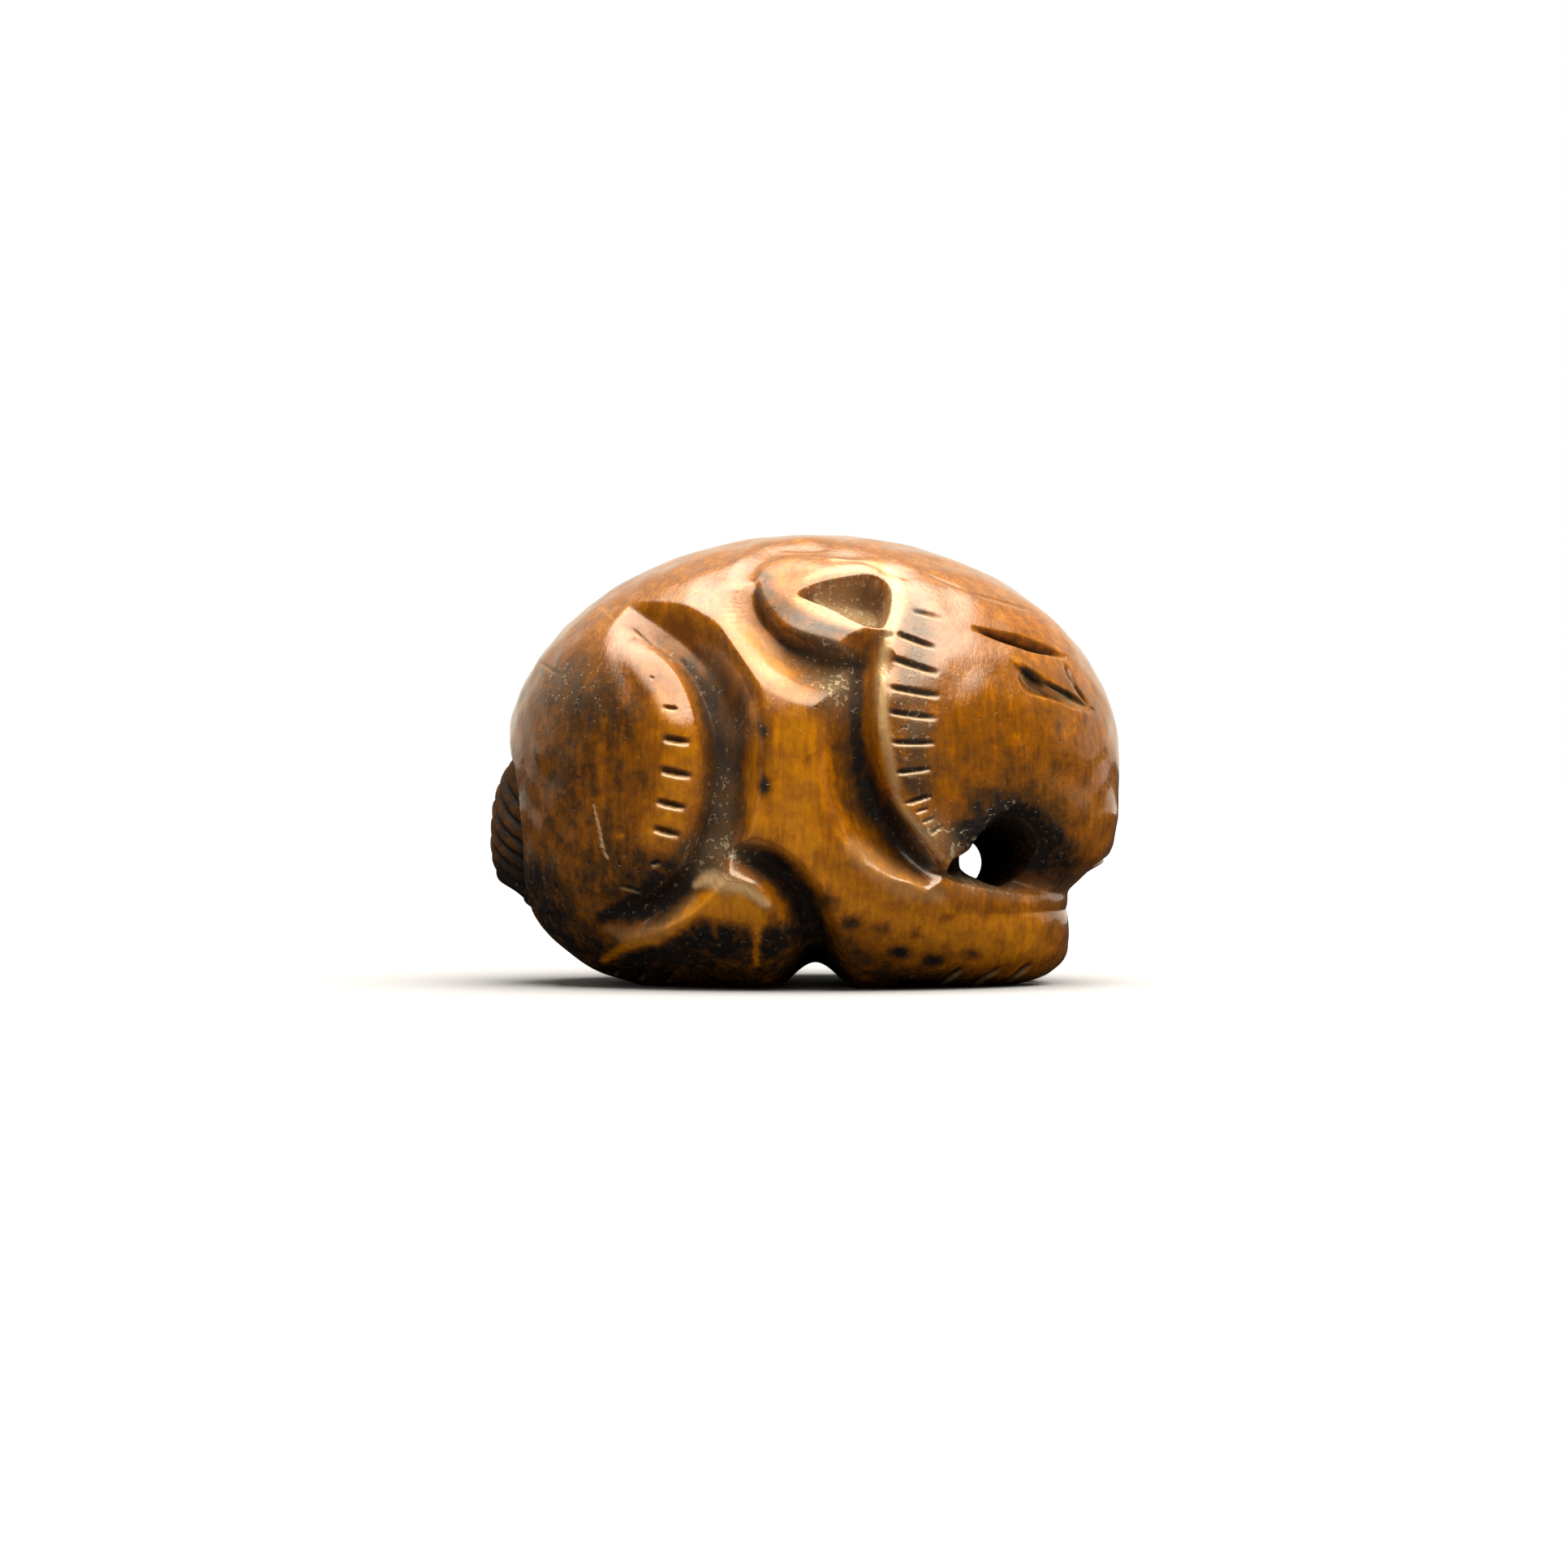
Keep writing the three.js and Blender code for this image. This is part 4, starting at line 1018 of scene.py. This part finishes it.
def boxwood(colours):
    """Stained and polished boxwood: painted shade in its hollows, pale wear and painted highlights up high.
    """
    material = bpy.data.materials.new("polished_boxwood")
    material.use_nodes = True
    tree = Tree(material.node_tree)
    shader = material.node_tree.nodes["Principled BSDF"]
    link = material.node_tree.links.new
    found = {name: tree.attribute(name) for name in MASKS}
    grain = tree.group(grain_group())
    mottle = tree.group(mottle_group())
    specks = speck_group()
    found["fine grain"] = grain["Fine"]
    found["broad grain"] = grain["Broad"]
    found["large mottle"] = mottle["Large"]
    found["small mottle"] = mottle["Small"]
    # Sunk places, the hollows and the tail, are darkened: painted shade and stains in the hollows.
    found["sunk"] = tree.clamped(tree.total(found["hollow"], found["tail"]))
    for name, sort in SPECKS.items():
        amount = tree.weighted(found, sort["more"], sort["everywhere"])
        amount = tree.math("MINIMUM", amount, sort["most"])
        sockets = {"Scale": sort["scale"], "Amount": amount, "Rarity": sort["rarity"]}
        found[name] = tree.group(specks, sockets)["Specks"]
    patchy = {
        name: tree.product(found[name], tree.spread(found[pattern], 0, 1, low, high))
        for name, (pattern, low, high) in PATCHY.items()}

    evenly = {name: tree.math("SUBTRACT", found[name], PATTERN_MIDDLE) for name in PATTERNS}
    # The darkness carries stains and painted shade from the hollows, strokes, channel and hair cuts.
    darkness = tree.weighted({**found, **evenly, **patchy}, DARKENING, BARE_DARKNESS)
    colour = wood_tones(tree, darkness, colours)
    colour = tree.mix_colour(tree.clamped(patchy["dust"]), colour, (*colours.dust, 1))
    # Worn places, and painted highlights on the stroke lips and on the tops of the foot, shoulder and arm.
    colour = tree.mix_colour(tree.clamped(patchy["wear_and_highlight"]), colour, (*colours.wear_and_highlight, 1))
    colour = tree.mix_colour(tree.product(found["crumbs"], CRUMB_COVER), colour, (*colours.crumb, 1))
    link(colour, shader.inputs["Base Color"])

    found["matte"] = tree.clamped(tree.weighted(found, MATTING))
    rough = tree.weighted(found, ROUGHENING, POLISHED_ROUGHNESS)
    link(tree.clamped(rough), shader.inputs["Roughness"])
    link(tree.spread(found["matte"], 0, 1, *SHINE), shader.inputs["Specular IOR Level"])
    link(tree.spread(found["matte"], 0, COAT_ENDS, *COAT), shader.inputs["Coat Weight"])
    shader.inputs["Coat Roughness"].default_value = 0.09
    shader.inputs["Coat IOR"].default_value = 1.55

    relief = tree.weighted(found, RELIEF)
    bump = tree.add("ShaderNodeBump", {"Height": relief, "Strength": 1.0, "Distance": RELIEF_HEIGHT})
    link(bump.outputs[0], shader.inputs["Normal"])
    return material


def length(name, description, default):
    """A length among the settings."""
    return FloatProperty(
        name=name, description=description, default=default, min=0, precision=6, unit="LENGTH")


def tone(name, description, default):
    """A colour among the settings."""
    return FloatVectorProperty(
        name=name, description=description, default=default, size=3, min=0, max=1, subtype="COLOR")


class BeadSizes(bpy.types.PropertyGroup):
    """The driving sizes of the bead."""
    body_length: length(
        "Body length", "Length of the blank without the tail", CAD_SIZE[0] - TAIL_STANDS_OUT)
    body_width: length("Body width", "Width of the blank", CAD_SIZE[1])
    body_height: length("Body height", "Height from the soles to the back", CAD_SIZE[2])
    tail_proud: length("Tail stands proud", "How far the tail stands out of the blank", 0.85 * MM)
    sole_trim: length("Sole trim", "How much is cut off the blank below", 0.6 * MM)
    channel_diameter: length("Channel diameter", "Diameter of the cord channel in the middle", 2.6 * MM)
    channel_mouth_diameter: length(
        "Channel mouth diameter", "Diameter of the cord channel at the flanks", 3.2 * MM)
    unevenness: length("Unevenness", "Height of each ripple that the hand left", 0.009 * MM)
    stroke_scale: FloatProperty(
        name="Stroke depth", description="Depth of the knife strokes against the usual", default=1.0, min=0)
    most_triangles: IntProperty(
        name="Most triangles", description="How many triangles the fine piece may have", default=180000,
        min=50000, max=195000)


class BeadColours(bpy.types.PropertyGroup):
    """The colours of the wood, of its stains and painted shade, and of what lies in its hollows."""
    honey: tone("Honey", "Wood worn bare", (0.66, 0.232, 0.003))
    amber: tone("Amber", "Polished wood", (0.31, 0.092, 0.0012))
    # Umber and the darkest tone are reached where painted shade adds to the stains.
    umber: tone("Umber", "Stained wood", (0.10, 0.036, 0.004))
    shade_and_soot: tone("Soot", "Stain in the deepest hollows", (0.017, 0.012, 0.010))
    # Also the colour of the painted highlights on the stroke lips and the tops of the foot, shoulder and
    # arm.
    wear_and_highlight: tone("Cream", "Wood worn through the stain on the edges", (0.78, 0.50, 0.22))
    dust: tone("Dust", "Old dust in the hollows", (0.28, 0.18, 0.10))
    crumb: tone("Crumbs", "Pale crumbs in the hollows", (0.50, 0.38, 0.22))


class StageSettings(bpy.types.PropertyGroup):
    """The floor, the light and the camera."""
    floor_colour: tone("Floor colour", "Colour of the plain floor", (0.46, 0.455, 0.445))
    floor_size: length("Floor size", "Side of the floor", 20)
    floor_bounce: FloatProperty(
        name="Floor bounce", description="Share of the floor's light that lights the bead", default=0.45,
        min=0, max=1, subtype="FACTOR")
    window_strength: FloatProperty(
        name="Window light", description="Strength of the soft light from above", default=7.5, min=0)
    window_seen: FloatProperty(
        name="Window in the polish", description="How bright the polish mirrors the window", default=6.8,
        min=0)
    mirrored_tint: tone(
        "Tint in the polish", "Warm tint that the polish gives to the light", (1.0, 0.90, 0.74))
    room_light: FloatProperty(
        name="Room light", description="Even light of the room", default=0.22, min=0)
    room_front: FloatProperty(
        name="Reflection in front", description="What the polish mirrors of the room in front",
        default=0.015, min=0)
    room_behind: FloatProperty(
        name="Reflection behind", description="What the polish mirrors of the room behind", default=0.9,
        min=0)
    camera_distance: length("Camera distance", "From the camera to the bead's middle", 0.18)
    frame_width: length("Frame width", "How much the camera sees at the bead's middle", 0.0746)


class RABBIT_OT_carve(bpy.types.Operator):
    """Carves, drills and finishes the rabbit"""
    bl_idname = "rabbit_bead.carve"
    bl_label = "Carve the rabbit"

    def execute(self, context):
        sizes = context.scene.rabbit_sizes
        carving = Carving(sizes)
        net, places = carved_net(carving, sizes.most_triangles)
        points = [vert.co.copy() for vert in net.verts]
        piece = to_object(net, "fine_rabbit")
        for side in (1, -1):
            whole = len(piece.data.polygons)
            cut_away(piece, drill(carving, sizes, side))
            if len(piece.data.polygons) in (0, whole):
                raise RuntimeError("The drill didn't cut the rabbit")
        store_masks(piece, points, surface_masks(carving, places))
        piece.data.transform(Matrix.Scale(MM, 4))
        ends = [corner[0] for corner in piece.bound_box]
        off_middle = (CAD_LOW[0] + CAD_HIGH[0] - min(ends) - max(ends)) / 2
        piece.data.transform(Matrix.Translation((off_middle, 0, 0)))
        piece.data.shade_smooth()
        piece.data.materials.clear()
        piece.data.materials.append(boxwood(context.scene.rabbit_colours))
        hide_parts(NODE)
        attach(piece, BODY)
        return {"FINISHED"}


class RABBIT_OT_stage(bpy.types.Operator):
    """Sets the floor, the soft light and the camera"""
    bl_idname = "rabbit_bead.stage"
    bl_label = "Set the stage"

    def execute(self, context):
        stage = context.scene.rabbit_stage
        if stage.frame_width == 0 or stage.camera_distance == 0:
            raise RuntimeError("The camera needs a distance and a frame width")
        set_floor(stage)
        set_world(context.scene, stage)
        set_light(context.scene, stage)
        set_camera(context.scene, stage)
        context.scene.view_settings.view_transform = "Standard"
        return {"FINISHED"}


def set_floor(stage):
    """A plain floor. It lights the bead with a share of its colour, and the polish doesn't mirror it."""
    made = bmesh.new()
    bmesh.ops.create_grid(made, x_segments=1, y_segments=1, size=stage.floor_size / 2)
    floor = to_object(made, "floor")
    material = bpy.data.materials.new("pale_floor")
    material.use_nodes = True
    shader = material.node_tree.nodes["Principled BSDF"]
    tree = Tree(material.node_tree)
    ray = tree.add("ShaderNodeLightPath").outputs
    bounced = tree.product(tree.math("SUBTRACT", 1, ray["Is Glossy Ray"]), stage.floor_bounce)
    seen = tree.product(ray["Is Camera Ray"], 1 - stage.floor_bounce)
    colour = tree.mix_colour(tree.total(bounced, seen), BLACK, (*stage.floor_colour, 1))
    material.node_tree.links.new(colour, shader.inputs["Base Color"])
    shader.inputs["Roughness"].default_value = 0.9
    shader.inputs["Specular IOR Level"].default_value = 0.1
    floor.data.materials.append(material)


def set_world(scene, stage):
    """A room that is brighter behind the bead than in front of it, and plain white to the camera."""
    world = bpy.data.worlds.new("room")
    world.use_nodes = True
    scene.world = world
    world.node_tree.nodes.clear()
    tree = Tree(world.node_tree)
    direction = tree.add("ShaderNodeTexCoord").outputs["Generated"]
    behind = tree.add("ShaderNodeSeparateXYZ", {0: direction}).outputs[1]
    room = tree.spread(behind, *ROOM_FADE, stage.room_front, stage.room_behind)
    window_middle = Vector(WINDOW_SEEN).normalized()
    towards = tree.add("ShaderNodeVectorMath", {0: direction, 1: window_middle}, operation="DOT_PRODUCT")
    sockets = {0: towards.outputs["Value"], 1: WINDOW_EDGE, 2: WINDOW_CORE, 3: 0.0, 4: stage.window_seen}
    window = tree.add("ShaderNodeMapRange", sockets, interpolation_type="SMOOTHSTEP").outputs[0]
    mirrored = tree.total(room, window)
    ray = tree.add("ShaderNodeLightPath").outputs
    lit = tree.add("ShaderNodeMix", {0: ray["Is Glossy Ray"], 2: stage.room_light, 3: mirrored}).outputs[0]
    tint = tree.mix_colour(ray["Is Glossy Ray"], ROOM_TINT, (*stage.mirrored_tint, 1))
    lit_room = tree.add("ShaderNodeBackground", {"Color": tint, "Strength": lit}).outputs[0]
    seen = tree.add("ShaderNodeBackground", {"Color": WHITE, "Strength": 1.0}).outputs[0]
    mixed = tree.add("ShaderNodeMixShader", {0: ray["Is Camera Ray"], 1: lit_room, 2: seen}).outputs[0]
    tree.add("ShaderNodeOutputWorld", {"Surface": mixed})


def set_light(scene, stage):
    """A broad soft lamp above the bead, a little in front of it. The polish mirrors the world's window."""
    window = bpy.data.lights.new("window", "SUN")
    window.energy = stage.window_strength
    window.angle = WINDOW_ANGLE
    window.color = WINDOW_TINT
    lamp = bpy.data.objects.new("window", window)
    lamp.visible_glossy = False
    lamp.rotation_euler = Vector(WINDOW_TOWARDS).to_track_quat("Z", "Y").to_euler()
    scene.collection.objects.link(lamp)


def set_camera(scene, stage):
    """The camera looks level along +Y at the bead's right flank."""
    camera = bpy.data.cameras.new("camera")
    camera.lens = camera.sensor_width * stage.camera_distance / stage.frame_width
    camera.clip_start = NEAREST_SEEN
    camera.clip_end = FARTHEST_SEEN
    eye = bpy.data.objects.new("camera", camera)
    eye.location = (CAMERA_ALONG, -stage.camera_distance, CAMERA_UP)
    eye.rotation_euler = (np.pi / 2, 0, 0)
    scene.collection.objects.link(eye)
    scene.camera = eye


class RABBIT_PT_panel(bpy.types.Panel):
    """The bead's sizes, colours and steps"""
    bl_idname = "RABBIT_PT_panel"
    bl_label = "Rabbit Bead"
    bl_space_type = "VIEW_3D"
    bl_region_type = "UI"
    bl_category = "Rabbit Bead"

    def draw(self, context):
        scene = context.scene
        parts = {"Sizes": scene.rabbit_sizes, "Colours": scene.rabbit_colours, "Stage": scene.rabbit_stage}
        for title, settings in parts.items():
            box = self.layout.box()
            box.label(text=title)
            for name in settings.__annotations__:
                box.prop(settings, name)
        for operator in (RABBIT_OT_carve, RABBIT_OT_stage):
            self.layout.operator(operator.bl_idname)


CLASSES = (BeadSizes, BeadColours, StageSettings, RABBIT_OT_carve, RABBIT_OT_stage, RABBIT_PT_panel)


def register():
    for added in CLASSES:
        bpy.utils.register_class(added)
    bpy.types.Scene.rabbit_sizes = PointerProperty(type=BeadSizes)
    bpy.types.Scene.rabbit_colours = PointerProperty(type=BeadColours)
    bpy.types.Scene.rabbit_stage = PointerProperty(type=StageSettings)


def unregister():
    del bpy.types.Scene.rabbit_stage
    del bpy.types.Scene.rabbit_colours
    del bpy.types.Scene.rabbit_sizes
    for added in reversed(CLASSES):
        bpy.utils.unregister_class(added)


def main():
    register()
    bpy.ops.rabbit_bead.stage()
    bpy.ops.rabbit_bead.carve()


if __name__ == "__main__":
    main()
